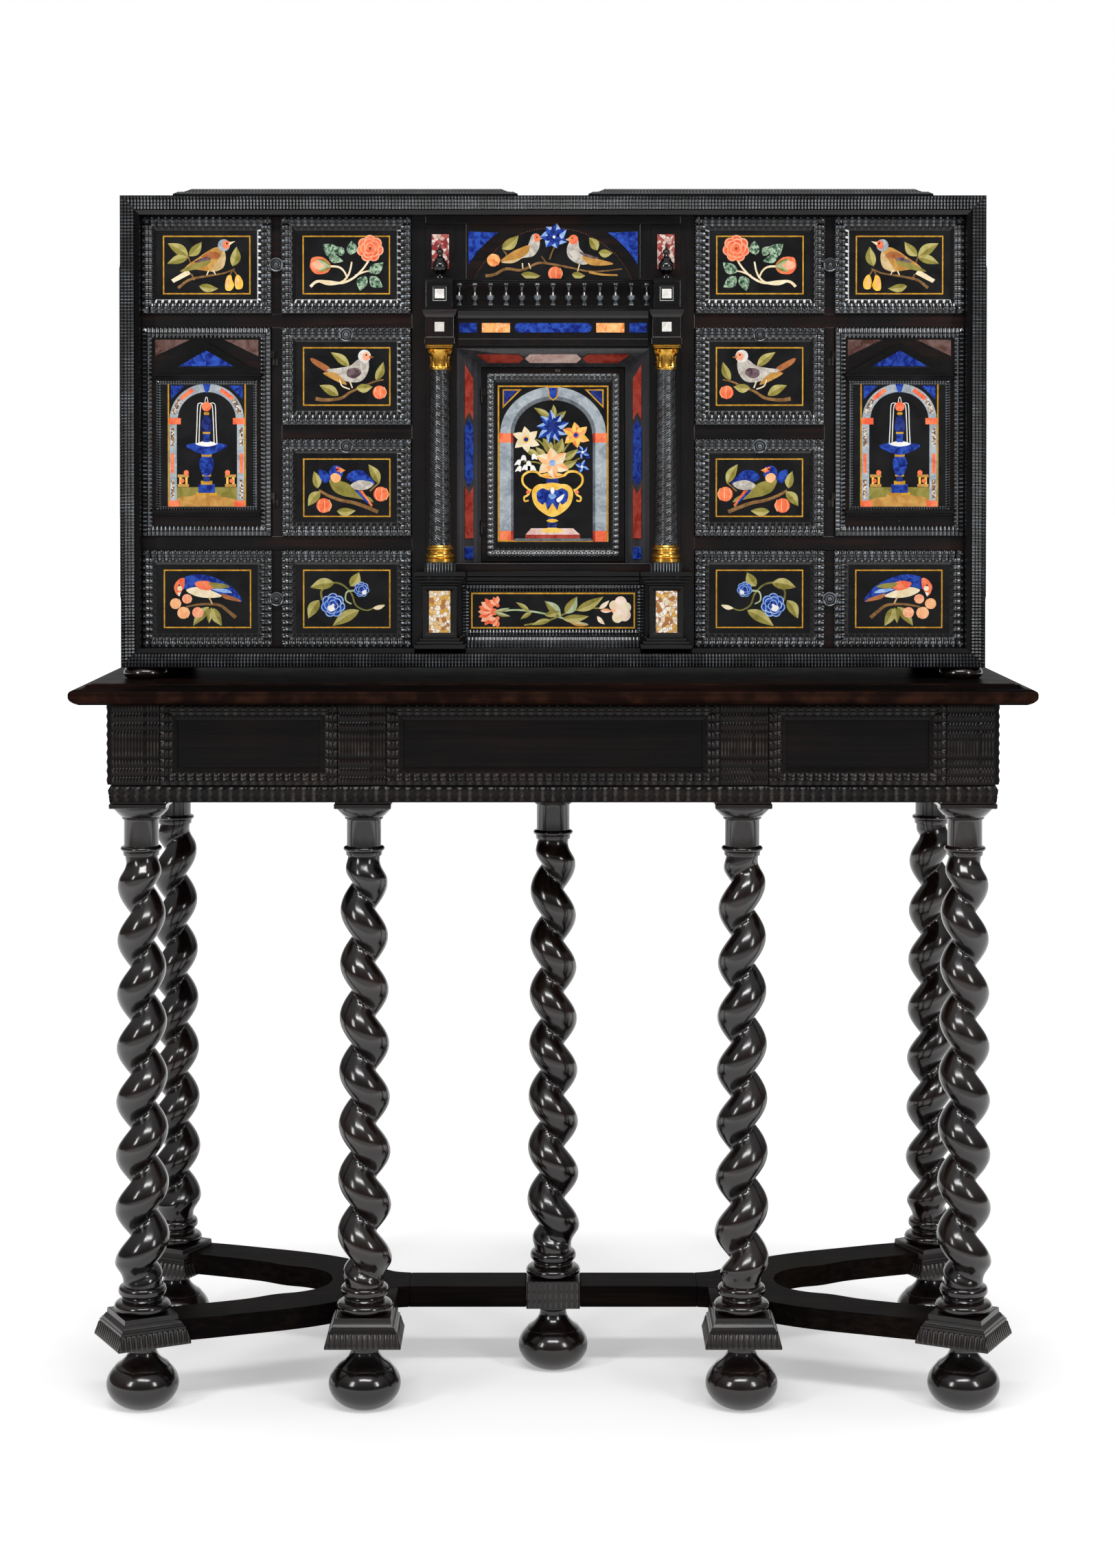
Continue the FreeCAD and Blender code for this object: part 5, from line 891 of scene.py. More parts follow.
def bank_drawer(side, row):
    """Drawer of one bank with a ripple frame round each picture; the wide ones hold two."""
    pictures = BANK_PICTURES[row]
    wide = len(pictures) == 2
    low, high = ROWS[row], ROWS[row] + ROW_HEIGHT
    front_z = (low + REST_GAP, high - SIDE_GAP)
    name = "drawer_%s_%s" % (row, WORDS[side])
    stock, picture = Stock(), Stock()
    drawer_box(stock, (side * BANK_X, side * (INNER_X if wide else DIVIDER_X)), (low, high), FACE)
    spans = ((BANK_X + SIDE_GAP, DIVIDER_X - (0 if wide else SIDE_GAP)), (DOOR_X, INNER_X - SIDE_GAP))
    middle_z = sum(front_z) / 2
    for (a, b), (origin, items) in zip(spans, pictures):
        front_frame(stock, "ebony", (side * a, side * b), front_z, FACE, sized(PANEL_STRIPS, 18, 8),
                    8.6, 1.7, 8)
        middle = side * (a + b) / 2
        gold_border(picture, (middle - 56, middle + 56), (middle_z - 37.5, middle_z + 37.5), SLATE_FRONT)
        inlay(picture, items, (middle, SLATE_FRONT, middle_z), origin, PICTURE_SCALE, -side)
    if wide:
        knob(stock, side * (DIVIDER_X + DOOR_X) / 2, middle_z)
    else:
        knob(stock, side * (BANK_X + DIVIDER_X) / 2, front_z[1] - 9)
    stock.make(name + "_front", name, "ebony", name)
    picture.make(name + "_inlay", name, "hardstone")


CARNATION_SPRAY = ((447, 1366), [
    ("stem", "pale_green", 6, 5, 268, 1370, 330, 1364, 400, 1372, 470, 1388, 556, 1410),
    ("stem", "olive", 5, 5, 356, 1412, 430, 1398, 500, 1370, 560, 1358, 622, 1362),
    ("bloom", "coral", "coral_pale", "coral", 262, 1370, 52, 7, 2.2, 1.9),
    ("bloom", "coral", "coral_pale", "coral", 272, 1350, 30, 4, 3.3, 1.4),
    ("bloom", "coral", "coral_pale", "coral", 272, 1390, 30, 4, 1.6, 1.4),
    ("leaf", 12, 262, 1370, 310, 1358, "pale_green", "olive"),
    ("leaf", 12, 262, 1372, 312, 1384, "pale_green", "olive"), ("leaf", 14, 372, 1368, 330, 1340),
    ("leaf", 14, 380, 1372, 344, 1394), ("leaf", 32, 470, 1386, 420, 1336, "olive", "pale_green"),
    ("leaf", 34, 484, 1376, 522, 1322, "olive", "pale_green"), ("leaf", 20, 420, 1380, 470, 1368),
    ("leaf", 26, 476, 1392, 560, 1384), ("leaf", 30, 520, 1366, 606, 1322),
    ("leaf", 18, 440, 1396, 380, 1412), ("leaf", 12, 500, 1404, 560, 1412, "tan", "ochre"),
    ("disc", "cream", 640, 1350, 16), ("disc", "blush", 660, 1340, 19), ("disc", "cream", 676, 1356, 17),
    ("disc", "blush", 672, 1380, 20), ("disc", "cream", 650, 1388, 17), ("disc", "blush", 648, 1368, 14),
    ("disc", "peach", 638, 1366, 6), ("leaf", 14, 592, 1360, 624, 1334, "cream", "blush"),
    ("leaf", 14, 586, 1384, 610, 1410, "cream", "blush"),
    ("leaf", 12, 596, 1366, 636, 1366, "coral_pale", "blush")])
LOVE_DOVES = ((447, 302), [
    ("stem", "umber", 10, 4, 234, 302, 262, 298, 300, 280, 348, 284, 400, 262, 446, 266, 500, 276, 560, 288,
     616, 286, 664, 280), ("stem", "ochre", 8, 5, 560, 290, 600, 298, 650, 300),
    ("stem", "umber", 6, 3, 436, 250, 446, 222, 456, 206), ("stem", "umber", 5, 3, 426, 262, 410, 240),
    ("stem", "umber", 5, 3, 270, 262, 300, 240, 290, 222), ("leaf", 34, 286, 218, 338, 176),
    ("leaf", 30, 586, 222, 560, 182), ("leaf", 26, 590, 228, 634, 230), ("leaf", 24, 346, 296, 408, 302),
    ("leaf", 22, 506, 296, 548, 302),
    ("blob", "dove_grey", 330, 254, 352, 246, 384, 240, 402, 216, 404, 190, 392, 172, 378, 180, 368, 206,
     346, 224), ("blob", "ochre", 284, 256, 310, 232, 340, 216, 372, 206, 366, 232, 330, 252),
    ("blob", "tan", 284, 260, 320, 252, 346, 248, 320, 262), ("disc", "dove_grey", 392, 184, 15),
    ("blob", "coral", 388, 172, 404, 174, 404, 192, 390, 194), ("facet", "tan", 404, 177, 419, 183, 405, 189),
    ("blob", "dove_grey", 498, 196, 512, 174, 526, 190, 530, 214, 550, 236, 570, 246, 552, 266, 520, 262,
     496, 244, 490, 220), ("blob", "plum", 528, 226, 560, 236, 590, 246, 560, 250),
    ("blob", "ochre", 536, 240, 566, 246, 600, 252, 636, 264, 600, 270, 560, 266),
    ("disc", "coral", 511, 188, 15), ("facet", "tan", 499, 182, 484, 188, 499, 194),
    ("disc", "slate", 396, 181, 2.5), ("disc", "slate", 507, 184, 2.5),
    ("stem", "cream", 4, 3, 350, 262, 352, 280), ("stem", "cream", 4, 3, 530, 266, 524, 288),
    ("stem", "cream", 4, 3, 370, 262, 376, 280),
    ("star", "lapis", "sky", "white_stone", 450, 178, 44, 7, 0.72),
    ("star", "lapis", "lapis_dark", "white_stone", 450, 180, 26, 5, 0.8),
    ("fruit", "agate", "coral", 259, 253, 20), ("fruit", "coral", "peach", 453, 295, 22)])


def arch_band(x, spring, top, inner_x, inner_top):
    """Outline of a round-headed band between two half ellipses."""
    middle = (x[0] + x[1]) / 2
    turn = np.linspace(0, math.pi, 25)
    outer = [(middle + (x[1] - x[0]) / 2 * math.cos(t), spring - (spring - top) * math.sin(t)) for t in turn]
    inner = [(middle + (inner_x[1] - inner_x[0]) / 2 * math.cos(t),
              spring - (spring - inner_top) * math.sin(t)) for t in turn]
    return [c for p in outer + inner[::-1] for c in p]


def square(finish, x0, y0, x1, y1):
    """Square-cut piece of a picture."""
    return ("facet", finish, x0, y0, x1, y0, x1, y1, x0, y1)


def mirrored_pair(axis, kind, finish, *points):
    """An item and its mirror image about an upright axis."""
    lead = points[:2] if kind == "stem" else ()
    tail = points[2:] if kind == "disc" else ()
    rest = points[len(lead):len(points) - len(tail)]
    flipped = [2 * axis - c if i % 2 == 0 else c for i, c in enumerate(rest)]
    return [(kind, finish, *lead, *rest, *tail), (kind, finish, *lead, *flipped, *tail)]


def flower_vase():
    """Items of the centre door's picture: a vase of flowers under an arch."""
    arch_axis, vase_axis = 445, 443
    items = [("facet", "grey_stone", *arch_band((278, 612), 800, 650, (310, 580), 680)),
             ("facet", "grey_shade", *arch_band((310, 580), 800, 680, (322, 568), 692))]
    for left, right, shade_left, shade_right in ((276, 312, 312, 320), (578, 614, 570, 578)):
        items += [square("grey_stone", left, 826, right, 1104),
                  square("grey_shade", shade_left, 826, shade_right, 1104)]
        for top, bottom in ((796, 826), (1104, 1138)):
            items += [square("coral", left, top, right, bottom),
                      square("jasper", shade_left, top, shade_right, bottom)]
    items += [square("grey_shade", 324, 1128, 566, 1136),
              ("facet", "gold_line", 427, 650, 463, 650, 459, 684, 445, 694, 431, 684),
              ("facet", "lapis", 431, 653, 459, 653, 455, 681, 445, 689, 435, 681)]
    items += mirrored_pair(arch_axis, "facet", "gold_line", 286, 658, 346, 658, 286, 718)
    items += mirrored_pair(arch_axis, "facet", "lapis_dark", 290, 662, 336, 662, 290, 708)
    items += [("facet", "pink_agate", 376, 1096, 508, 1096, 530, 1116, 358, 1116),
              square("jasper", 358, 1116, 530, 1128),
              ("blob", "yellow_stone", 406, 1104, 442, 1092, 478, 1104, 442, 1110),
              square("lapis_dark", 428, 1062, 457, 1094),
              ("blob", "yellow_stone", 424, 1072, 442, 1066, 461, 1072, 442, 1078)]
    items += mirrored_pair(vase_axis, "stem", "yellow_stone", 8, 6, 406, 930, 392, 918, 368, 918, 350, 932,
                           350, 954, 364, 970, 376, 978)
    items += mirrored_pair(vase_axis, "stem", "yellow_stone", 7, 5, 374, 972, 366, 990, 354, 998, 356, 1010,
                           368, 1008)
    items += mirrored_pair(vase_axis, "disc", "coral", 366, 982, 6)
    items += [("blob", "yellow_stone", 378, 990, 384, 968, 406, 956, 443, 962, 480, 956, 502, 968, 508, 990,
               500, 1020, 478, 1044, 443, 1060, 408, 1044, 386, 1020),
              ("blob", "lapis", 394, 984, 412, 970, 430, 976, 443, 968, 456, 976, 474, 970, 492, 984,
               488, 1012, 470, 1034, 443, 1044, 416, 1034, 398, 1012)]
    items += mirrored_pair(vase_axis, "facet", "yellow_stone", 396, 1010, 412, 1022, 420, 1014, 428, 1040,
                           443, 1052, 412, 1044)
    items += [("facet", "yellow_stone", 428, 1040, 443, 1016, 458, 1040, 443, 1060),
              ("blob", "sky", 430, 992, 444, 984, 454, 996, 440, 1004),
              ("blob", "white_stone", 456, 1004, 480, 988, 474, 1004, 462, 1014),
              ("blob", "white_stone", 436, 976, 443, 966, 450, 976, 443, 988),
              square("lapis_dark", 424, 936, 462, 958),
              ("blob", "yellow_stone", 402, 930, 442, 920, 484, 930, 442, 940),
              ("blob", "yellow_stone", 414, 958, 442, 952, 472, 958, 442, 964),
              ("stem", "coral", 3, 3, 410, 930, 442, 934, 476, 930)]
    for points in ((443, 920, 430, 860, 400, 820, 366, 818), (445, 920, 450, 850, 446, 790),
                   (448, 920, 480, 850, 514, 806), (440, 920, 400, 890, 352, 886),
                   (450, 920, 500, 890, 540, 870)):
        items.append(("stem", "olive", 6, 4, *points))
    for points in ((30, 440, 862, 412, 812), (30, 452, 862, 474, 812), (20, 400, 870, 352, 846),
                   (24, 470, 880, 524, 846), (24, 470, 900, 520, 884), (22, 420, 880, 390, 840),
                   (20, 440, 752, 384, 716), (18, 444, 750, 446, 706), (20, 448, 752, 486, 726)):
        items.append(("leaf", *points))
    items += [("star", "lapis", "sky", "lapis_dark", 443, 778, 56, 9, 0.42),
              ("star", "lapis_dark", "lapis", "lapis_dark", 443, 774, 30, 7, 0.5),
              ("star", "cream", "cream", "lapis", 360, 816, 46, 6, 0.56),
              ("disc", "yellow_stone", 360, 816, 11), ("disc", "lapis", 360, 816, 7),
              ("star", "yellow_stone", "agate", "lapis", 517, 802, 46, 6, 0.56),
              ("disc", "coral", 517, 802, 11), ("disc", "lapis", 517, 802, 7),
              ("star", "peach", "cream", "sky", 443, 890, 56, 6, 0.6),
              ("star", "lapis", "sky", "white_stone", 538, 856, 24, 5, 0.5),
              ("star", "sky", "lapis", "white_stone", 536, 902, 24, 4, 0.6),
              ("leaf", 10, 546, 872, 564, 872, "lapis")]
    for x, y, lean in ((352, 876, 0), (384, 872, 3), (358, 906, -3), (380, 908, 3), (338, 890, -6),
                       (340, 910, -6), (368, 894, 0)):
        items.append(("blob", "white_stone", x - 5, y - 9, x + 5, y - 9, x + 9 + lean, y + 7, x + lean, y + 5,
                      x - 9 + lean, y + 7))
    return items


def fountain():
    """Items of a side door's picture: a fountain under an arch."""
    axis, jet_axis = 285, 284
    items = [("facet", "grey_stone", *arch_band((168, 402), 762, 650, (193, 376), 676))]
    for t in (0.42, 0.92, 2.22, 2.72):
        x, y = axis + 104 * math.cos(t), 762 - 99 * math.sin(t)
        across = (24 * math.sin(t), 24 * math.cos(t))
        finish = "coral" if t in (0.92, 2.22) else "breccia_fine"
        items.append(("stem", finish, 13, 13, x - across[0], y - across[1], x + across[0], y + across[1]))
    items += [square("olive", 190, 976, 380, 1040),
              ("blob", "ochre", 190, 1012, 280, 1002, 380, 1016, 380, 1040, 190, 1040)]
    for x0, x1, in0, in1 in ((167, 190, 171, 182), (380, 403, 388, 399)):
        items += [square("grey_stone", x0, 778, x1, 1022), square("coral", in0, 870, in1, 932),
                  square("breccia_fine", in0, 788, in1, 846), square("breccia_fine", in0, 952, in1, 1012)]
    items += [square("coral", 165, 758, 203, 778), square("coral", 367, 758, 405, 778),
              square("coral", 165, 1018, 199, 1044), square("coral", 371, 1018, 405, 1044),
              ("facet", "lapis", 272, 650, 298, 650, 292, 672, 285, 680, 278, 672)]
    items += mirrored_pair(axis, "facet", "lapis", 172, 656, 216, 656, 172, 700)
    items += [square("ochre", 242, 1000, 326, 1014), square("gold_line", 250, 992, 318, 1002),
              square("lapis", 258, 966, 310, 994), square("gold_line", 266, 956, 302, 968),
              square("gold_line", 270, 936, 298, 942), square("lapis_dark", 274, 942, 294, 958),
              ("blob", "lapis", 272, 936, 260, 900, 272, 878, 296, 878, 306, 900, 296, 936),
              square("gold_line", 268, 872, 300, 880),
              ("blob", "lapis", 220, 844, 284, 834, 348, 844, 320, 864, 284, 874, 248, 864),
              ("blob", "white_stone", 250, 840, 284, 830, 316, 840, 284, 848),
              square("lapis", 274, 760, 294, 834),
              ("blob", "lapis_dark", 272, 800, 268, 780, 276, 752, 292, 752, 300, 780, 296, 800),
              square("gold_line", 272, 802, 296, 808), square("gold_line", 276, 740, 292, 748),
              ("stem", "white_stone", 2, 2, 279, 710, 281, 697, 284, 692, 287, 697, 289, 710)]
    items += mirrored_pair(jet_axis, "stem", "white_stone", 2.2, 2.8, 274, 712, 262, 711, 256, 722, 254, 780,
                           251, 840)
    items += mirrored_pair(jet_axis, "stem", "white_stone", 2.2, 2.8, 276, 716, 269, 715, 265, 726, 262, 780,
                           260, 840)
    items.append(("disc", "coral", jet_axis, 722, 15))
    for finish, x0, y0, x1, y1 in (("ochre", 193, 936, 228, 945), ("ochre", 193, 966, 228, 975),
                                   ("yellow_stone", 198, 945, 205, 966),
                                   ("yellow_stone", 217, 945, 224, 966)):
        items += [square(finish, x0, y0, x1, y1), square(finish, 2 * axis - x1, y0, 2 * axis - x0, y1)]
    for x, y, r in ((220, 930, 8), (207, 956, 7)):
        items += mirrored_pair(axis, "disc", "coral", x, y, r)
    return items


def bead_line(stock, finish, a, b, out, radius=0.9, pitch=2.6):
    """Row of small half-sunk beads from a to b."""
    a, b, out = (np.asarray(p, float) for p in (a, b, out))
    count = max(2, int(np.linalg.norm(b - a) / pitch))
    run = (b - a) / np.linalg.norm(b - a)
    across = np.cross(run, out)
    turn = np.arange(6) * math.tau / 6
    for share in (np.arange(count) + 0.5) / count:
        centre = a + (b - a) * share
        rings = [centre + (np.cos(turn)[:, None] * run + np.sin(turn)[:, None] * across) * radius * r
                 + out * h for r, h in ((1.0, -0.2), (0.9, 0.45), (0.4, 0.85))]
        # Beads are marked a little raised, so ebony beads take a faint painted highlight.
        stock.add(np.concatenate(rings), tube_faces(3, 6), finish, 0.7)


def hinge_knuckles(stock, x, y, bottom, top, leaf_x, leaf_y):
    """Knuckle and leaf of a door's two hinges, round its pins."""
    for share in (0.14, 0.82):
        foot = bottom + share * (top - bottom) + 9.3
        turned(stock, "iron", (x, y, foot), [(1.2, 0), (1.9, 0.2), (1.9, 8.8), (1.2, 9)], 16)
        board(stock, "iron", (x, leaf_x), leaf_y, (foot + 0.4, foot + 8.6), 0.2)


def side_door(side):
    """Side door with its temple front: pediment, sill, inner frame and corner stones."""
    name = "door_" + WORDS[side]
    x = (side * (DOOR_X + SIDE_GAP), side * (INNER_X - SIDE_GAP))
    bottom, top = ROWS["lower"] + SIDE_GAP, ROWS["upper"] + ROW_HEIGHT - SIDE_GAP
    middle, half = side * (DOOR_X + INNER_X) / 2, 69.4
    stock, picture = Stock(), Stock()
    board(stock, "ebony_board", x, (FACE, FACE + 16), (bottom, top), 0.4)
    front_frame(stock, "ebony", x, (bottom, top), FACE, sized(FINE_STRIPS, 13, 7), 5.4, 1.1, 6)
    apex, eaves, sill = top - 19, top - 59, bottom + 25
    rise = (apex - eaves) / half
    prism(stock, "ebony", [(middle - half + 3, FACE, eaves), (middle + half - 3, FACE, eaves),
                           (middle, FACE, apex - 2)], -BACK * 7)
    for drop, depth, reach in ((0, 4.0, 10.4), (4.0, 2.6, 9.2), (6.6, 2.0, 8.2)):
        foot, head, cut = half - drop / rise * 0.95, apex - drop, depth * 1.15
        for sign in SIDES:
            outline = [(middle + sign * foot, FACE, eaves), (middle, FACE, head), (middle, FACE, head - cut),
                       (middle + sign * (foot - cut / rise), FACE, eaves)]
            prism(stock, "ebony", outline, -BACK * reach)
    ledges = [(eaves - 3, eaves, 10, 0), (eaves - 5.5, eaves - 3, 7.6, 1.6), (eaves - 8, eaves - 5.5, 5.4, 3)]
    ledges += [(sill + 4, sill + 8, 7, 0), (sill + 1.5, sill + 4, 5.4, 2), (sill, sill + 1.5, 6.2, 1)]
    for z0, z1, reach, trim in ledges:
        board(stock, "ebony", (middle - half + trim, middle + half - trim), (FACE - reach, FACE),
              (z0, z1), 0.4)
    sight = (sill + 8, eaves - 8)
    front_frame(stock, "ebony", (middle - 64.4, middle + 64.4), sight, FACE, sized(FINE_STRIPS, 6, 5),
                3.4, 0.7, 5)
    field, line = FACE - 7.2, eaves + 8.6
    for sign in SIDES:
        bead_line(stock, "ebony", (middle + sign * 37, field, eaves + 9.4), (middle, field, apex - 9),
                  -BACK, 0.7, 2.4)
    bead_line(stock, "ebony", (middle - 38, field, line), (middle + 38, field, line), -BACK, 0.7, 2.4)
    for sign in SIDES:
        outer = middle + sign * 66
        prism(picture, "brown_agate", [(outer, FACE, top - 15), (middle + sign * 22, FACE, top - 15),
                                       (outer, FACE, top - 36)], -BACK * 1.2)
        bead_line(stock, "ebony", (outer, FACE - 0.6, top - 37), (middle + sign * 20, FACE - 0.6, top - 15.6),
                  -BACK, 0.8, 2.4)
    hinge_knuckles(stock, side * 357.6, -128.3, bottom, top, side * 361.2, (-128.9, -127.7))
    turned(stock, "iron", (middle, FACE, sill - 6), [(1.4, 0), (1.6, 1.4), (1.0, 3), (0.3, 3.4)], 12, True)
    middle_z = sum(sight) / 2
    gold_border(picture, (middle - 50, middle + 50), (middle_z - 82.5, middle_z + 82.5), SLATE_FRONT, 1.8)
    inlay(picture, fountain(), (middle, SLATE_FRONT, middle_z), (285, 844), PICTURE_SCALE, -side)
    stock.make(name + "_front", name, "ebony", name)
    picture.make(name + "_inlay", name, "hardstone")


def centre_drawer():
    """Low drawer in the middle with one long picture."""
    stock, picture = Stock(), Stock()
    drawer_box(stock, (-CENTRE_DRAWER_X, CENTRE_DRAWER_X), (PEDESTAL_BOTTOM, PEDESTAL_TOP), FACE)
    half = CENTRE_DRAWER_X - SIDE_GAP
    front_frame(stock, "ebony", (-half, half), (PEDESTAL_BOTTOM + REST_GAP, PEDESTAL_TOP - SIDE_GAP), FACE,
                sized(FINE_STRIPS, 9, 5), 4.2, 0.8, 5)
    gold_border(picture, (-105, 105), (989.4, 1035.4), SLATE_FRONT, 2.0)
    inlay(picture, CARNATION_SPRAY[1], (0, SLATE_FRONT, 1012.4), CARNATION_SPRAY[0], PICTURE_SCALE)
    stock.make("drawer_centre_front", "drawer_centre", "ebony", "drawer_centre")
    picture.make("drawer_centre_inlay", "drawer_centre", "hardstone")


def centre_door():
    """Niche door with a vase of flowers, a keyhole plate and its hinges."""
    stock, picture = Stock(), Stock()
    half, bottom, top, face = 92.4, 1073.6, 1324.4, CENTRE_DOOR_FACE
    board(stock, "ebony_board", (-half, half), (face, face + 16), (bottom, top), 0.5)
    front_frame(stock, "ebony", (7 - half, half - 7), (bottom + 7, top - 7), face,
                sized(PANEL_STRIPS, 12, 5), 7.2, 1.3, 8)
    plate = [(3.2, 0), (3.2, 0.8), (2.4, 1.2), (1.4, 0.7), (0.3, 0.7)]
    turned(stock, "iron", (6, face, top - 3.6), plate, 20, True)
    hinge_knuckles(stock, -92.6, face - 2.5, bottom, top, -86.8, (face - 1.2, face))
    gold_border(picture, (-71.5, 71.5), (1099.6, 1301.4), face - 3, 2.0)
    inlay(picture, flower_vase(), (0, face - 3, 1200.2), (445, 893), VASE_SCALE)
    stock.make("door_centre_front", "door_centre", "ebony", "door_centre")
    picture.make("door_centre_inlay", "door_centre", "hardstone")


# Middle front
def pedestals():
    """Stepped pedestals with reeded blocks on them, and the rail and rippled plinth between them."""
    stock = Stock()
    block, block_front = 16.6, PEDESTAL_FRONT - 0.6
    for side in SIDES:
        at = side * COLUMN_X
        board(stock, "ebony", (at - 22, at + 22), (PEDESTAL_FRONT, FACE),
              (PEDESTAL_BOTTOM, PEDESTAL_TOP), 0.6)
        profile = [(0, 0, 0), (0, 1.4, 0), (2.5, 1.6, 0), (4, 0.5, 0), (4, 0, 0)]
        front_frame(stock, "ebony", (at - 19.5, at + 19.5), (PEDESTAL_BOTTOM + 4, PEDESTAL_TOP - 4),
                    PEDESTAL_FRONT, profile, 40, 0.0, 1)
        for half, front, z0, z1 in ((24.5, 162, 1046, 1049), (28, 163.5, 1049, 1053), (31, 164.4, 1053, 1057),
                                    (33, 165, 1057, 1063), (33, 165, 965, 971), (30, 163.4, 971, 975),
                                    (26, 162, 975, 979)):
            board(stock, "ebony", (at - half, at + half), (-front, FACE), (z0, z1), 0.8)
        reeds = [(0, 0, 0), (0, 2.4, 1), (10.4, 2.4, 1), (12, 1.6, 0), (12, 0, 0)]
        for x, y, run, out, length in ((at - block, block_front, RIGHT, -BACK, 2 * block),
                                       (at - block, FACE, -BACK, -RIGHT, FACE - block_front),
                                       (at + block, block_front, BACK, RIGHT, FACE - block_front)):
            ripple_run(stock, "ebony", (x, y, CAP_TOP), run, UP, out, length, reeds, 3.7, 1.6, (0, 0), 8)
        board(stock, "ebony", (at - block, at + block), (block_front, FACE), (CAP_TOP, CAP_TOP + 11.6), 0.3)
    for z0, z1, reach in ((1046, 1050, 4), (1050, 1056, 6.4), (1056, 1063, 8)):
        board(stock, "ebony", (-MIDDLE_X, MIDDLE_X), (FACE - reach, FACE), (z0, z1), 0.8)
    rows = strips([(0.02, 0.34, 0.9, 1.0), (0.36, 0.66, 1.0, 1.0), (0.68, 0.98, 1.0, 0.9)], 0.16,
                  ([(0.0, 0.0, 0), (0.0, 0.7, 0)], [(1.0, 0.6, 0), (1.0, 0.0, 0)]))
    ripple_run(stock, "ebony", (-MIDDLE_X, FACE, MIDDLE_BOTTOM), RIGHT, UP, -BACK, 2 * MIDDLE_X,
               sized(rows, 14, 8), 4.6, 0.9, (0, 0))
    stock.make("column_pedestals", "frame", "ebony", "pedestals")


def columns():
    """Shafts wound with fine reeds, and their gilt bases and capitals."""
    shafts, mounts = Stock(), Stock()
    rings, around = 400, 96
    share = np.linspace(0, 1, rings + 1)
    angle = np.arange(around) * math.tau / around
    height = SHAFT_BOTTOM + share * SHAFT_HEIGHT
    for side in SIDES:
        phase = 2 * angle[None, :] - side * math.pi * (height[:, None] - SHAFT_BOTTOM) / 11.2
        strand, reed = np.abs(np.sin(phase)), np.abs(np.sin(4 * phase))
        ends = np.clip(np.minimum(share, 1 - share) * SHAFT_HEIGHT / 3, 0, 1)[:, None]
        radius = (14.2 - 3 * share)[:, None] - (1.1 * (1 - strand) + 0.7 * (1 - reed)) * ends
        points = np.stack([side * COLUMN_X + radius * np.cos(angle), COLUMN_Y + radius * np.sin(angle),
                           np.broadcast_to(height[:, None], radius.shape)], axis=-1)
        # Reed crests are marked raised, so the ebony paints a highlight along them.
        shafts.add(points, tube_faces(rings + 1, around), "ebony", reed.ravel() * 0.85)
        at = (side * COLUMN_X, COLUMN_Y, 0)
        base = [(18, 1075), (18.5, 1075.6), (18.5, 1079.4), (17.6, 1080)] + bead(16.8, 18.4, 1080.2, 5.2, 6)
        base += [(15.6, 1085.8), (15, 1087.6), (15.6, 1089.4)] + bead(15.4, 17, 1089.8, 4.4, 6)
        base += [(15, 1094.6), (14.8, 1096), (14, SHAFT_BOTTOM)]
        turned(mounts, "gilt", at, base, 40)
        bell = [(11.2, 1320)] + bead(11.4, 12.6, 1320.4, 2.6, 6) + [
            (11.4, 1323.4), (11.2, 1330), (11.8, 1338), (13.4, 1343.4), (14.6, 1345.6), (13, 1346.2)]
        turned(mounts, "gilt", at, bell, 32)
        capital_leaves(mounts, at)
    shafts.make("roped_columns", "frame", "ebony", "column_shafts")
    mounts.make("gilt_capitals_and_bases", "frame", "gilt", "column_mounts")


def capital_leaves(stock, at):
    """Two tiers of curled leaves, four volutes and the plates over them."""
    for tier, (count, foot, tall, out) in enumerate(((8, 1323, 9.5, 12.0), (8, 1324, 17, 12.4))):
        for i in range(count):
            ahead, across = directions((i + 0.5 * tier) * math.tau / count)
            rings = []
            for t in np.linspace(0, 1, 7):
                curl = max(0, t - 0.55) / 0.45
                centre = (np.array(at) + ahead * (out + 2.4 * curl ** 1.5)
                          + UP * (foot + tall * (t - 0.22 * curl ** 2.5)))
                half = 3.6 * (1 - 0.75 * curl) * (0.85 + 0.15 * math.cos(t * 18))
                rings.append([centre - across * half - ahead * 0.8, centre + ahead * 0.6,
                              centre + across * half - ahead * 0.8, centre - ahead * 1.5])
            stock.add(np.array(rings).reshape(-1, 3), tube_faces(7, 4), "gilt", 0.6)
    turns = 40
    turn = np.linspace(0, 2.6 * math.tau, turns)
    spiral = 4.2 - 3.2 * turn / turn[-1]
    for i in range(4):
        ahead, across = directions((i + 0.5) * math.tau / 4)
        centre = np.array(at) + ahead * 14.4 + UP * 1343.4
        rings = []
        for t, r in zip(turn, spiral):
            spoke = ahead * math.cos(t) + UP * math.sin(t)
            inner, outer = centre + spoke * (r - 0.7), centre + spoke * (r + 0.6)
            rings.append([inner - across * 1.6, inner + across * 1.6, outer + across * 1.8,
                          outer - across * 1.8])
        stock.add(np.array(rings).reshape(-1, 3), tube_faces(turns, 4), "gilt", 0.6)
    for half, z0, z1, edge in ((16, 1347.2, 1349.6, 0.5), (17, 1349.6, 1352, 0.6)):
        board(stock, "gilt", (at[0] - half, at[0] + half), (at[1] - half, at[1] + half), (z0, z1), edge)


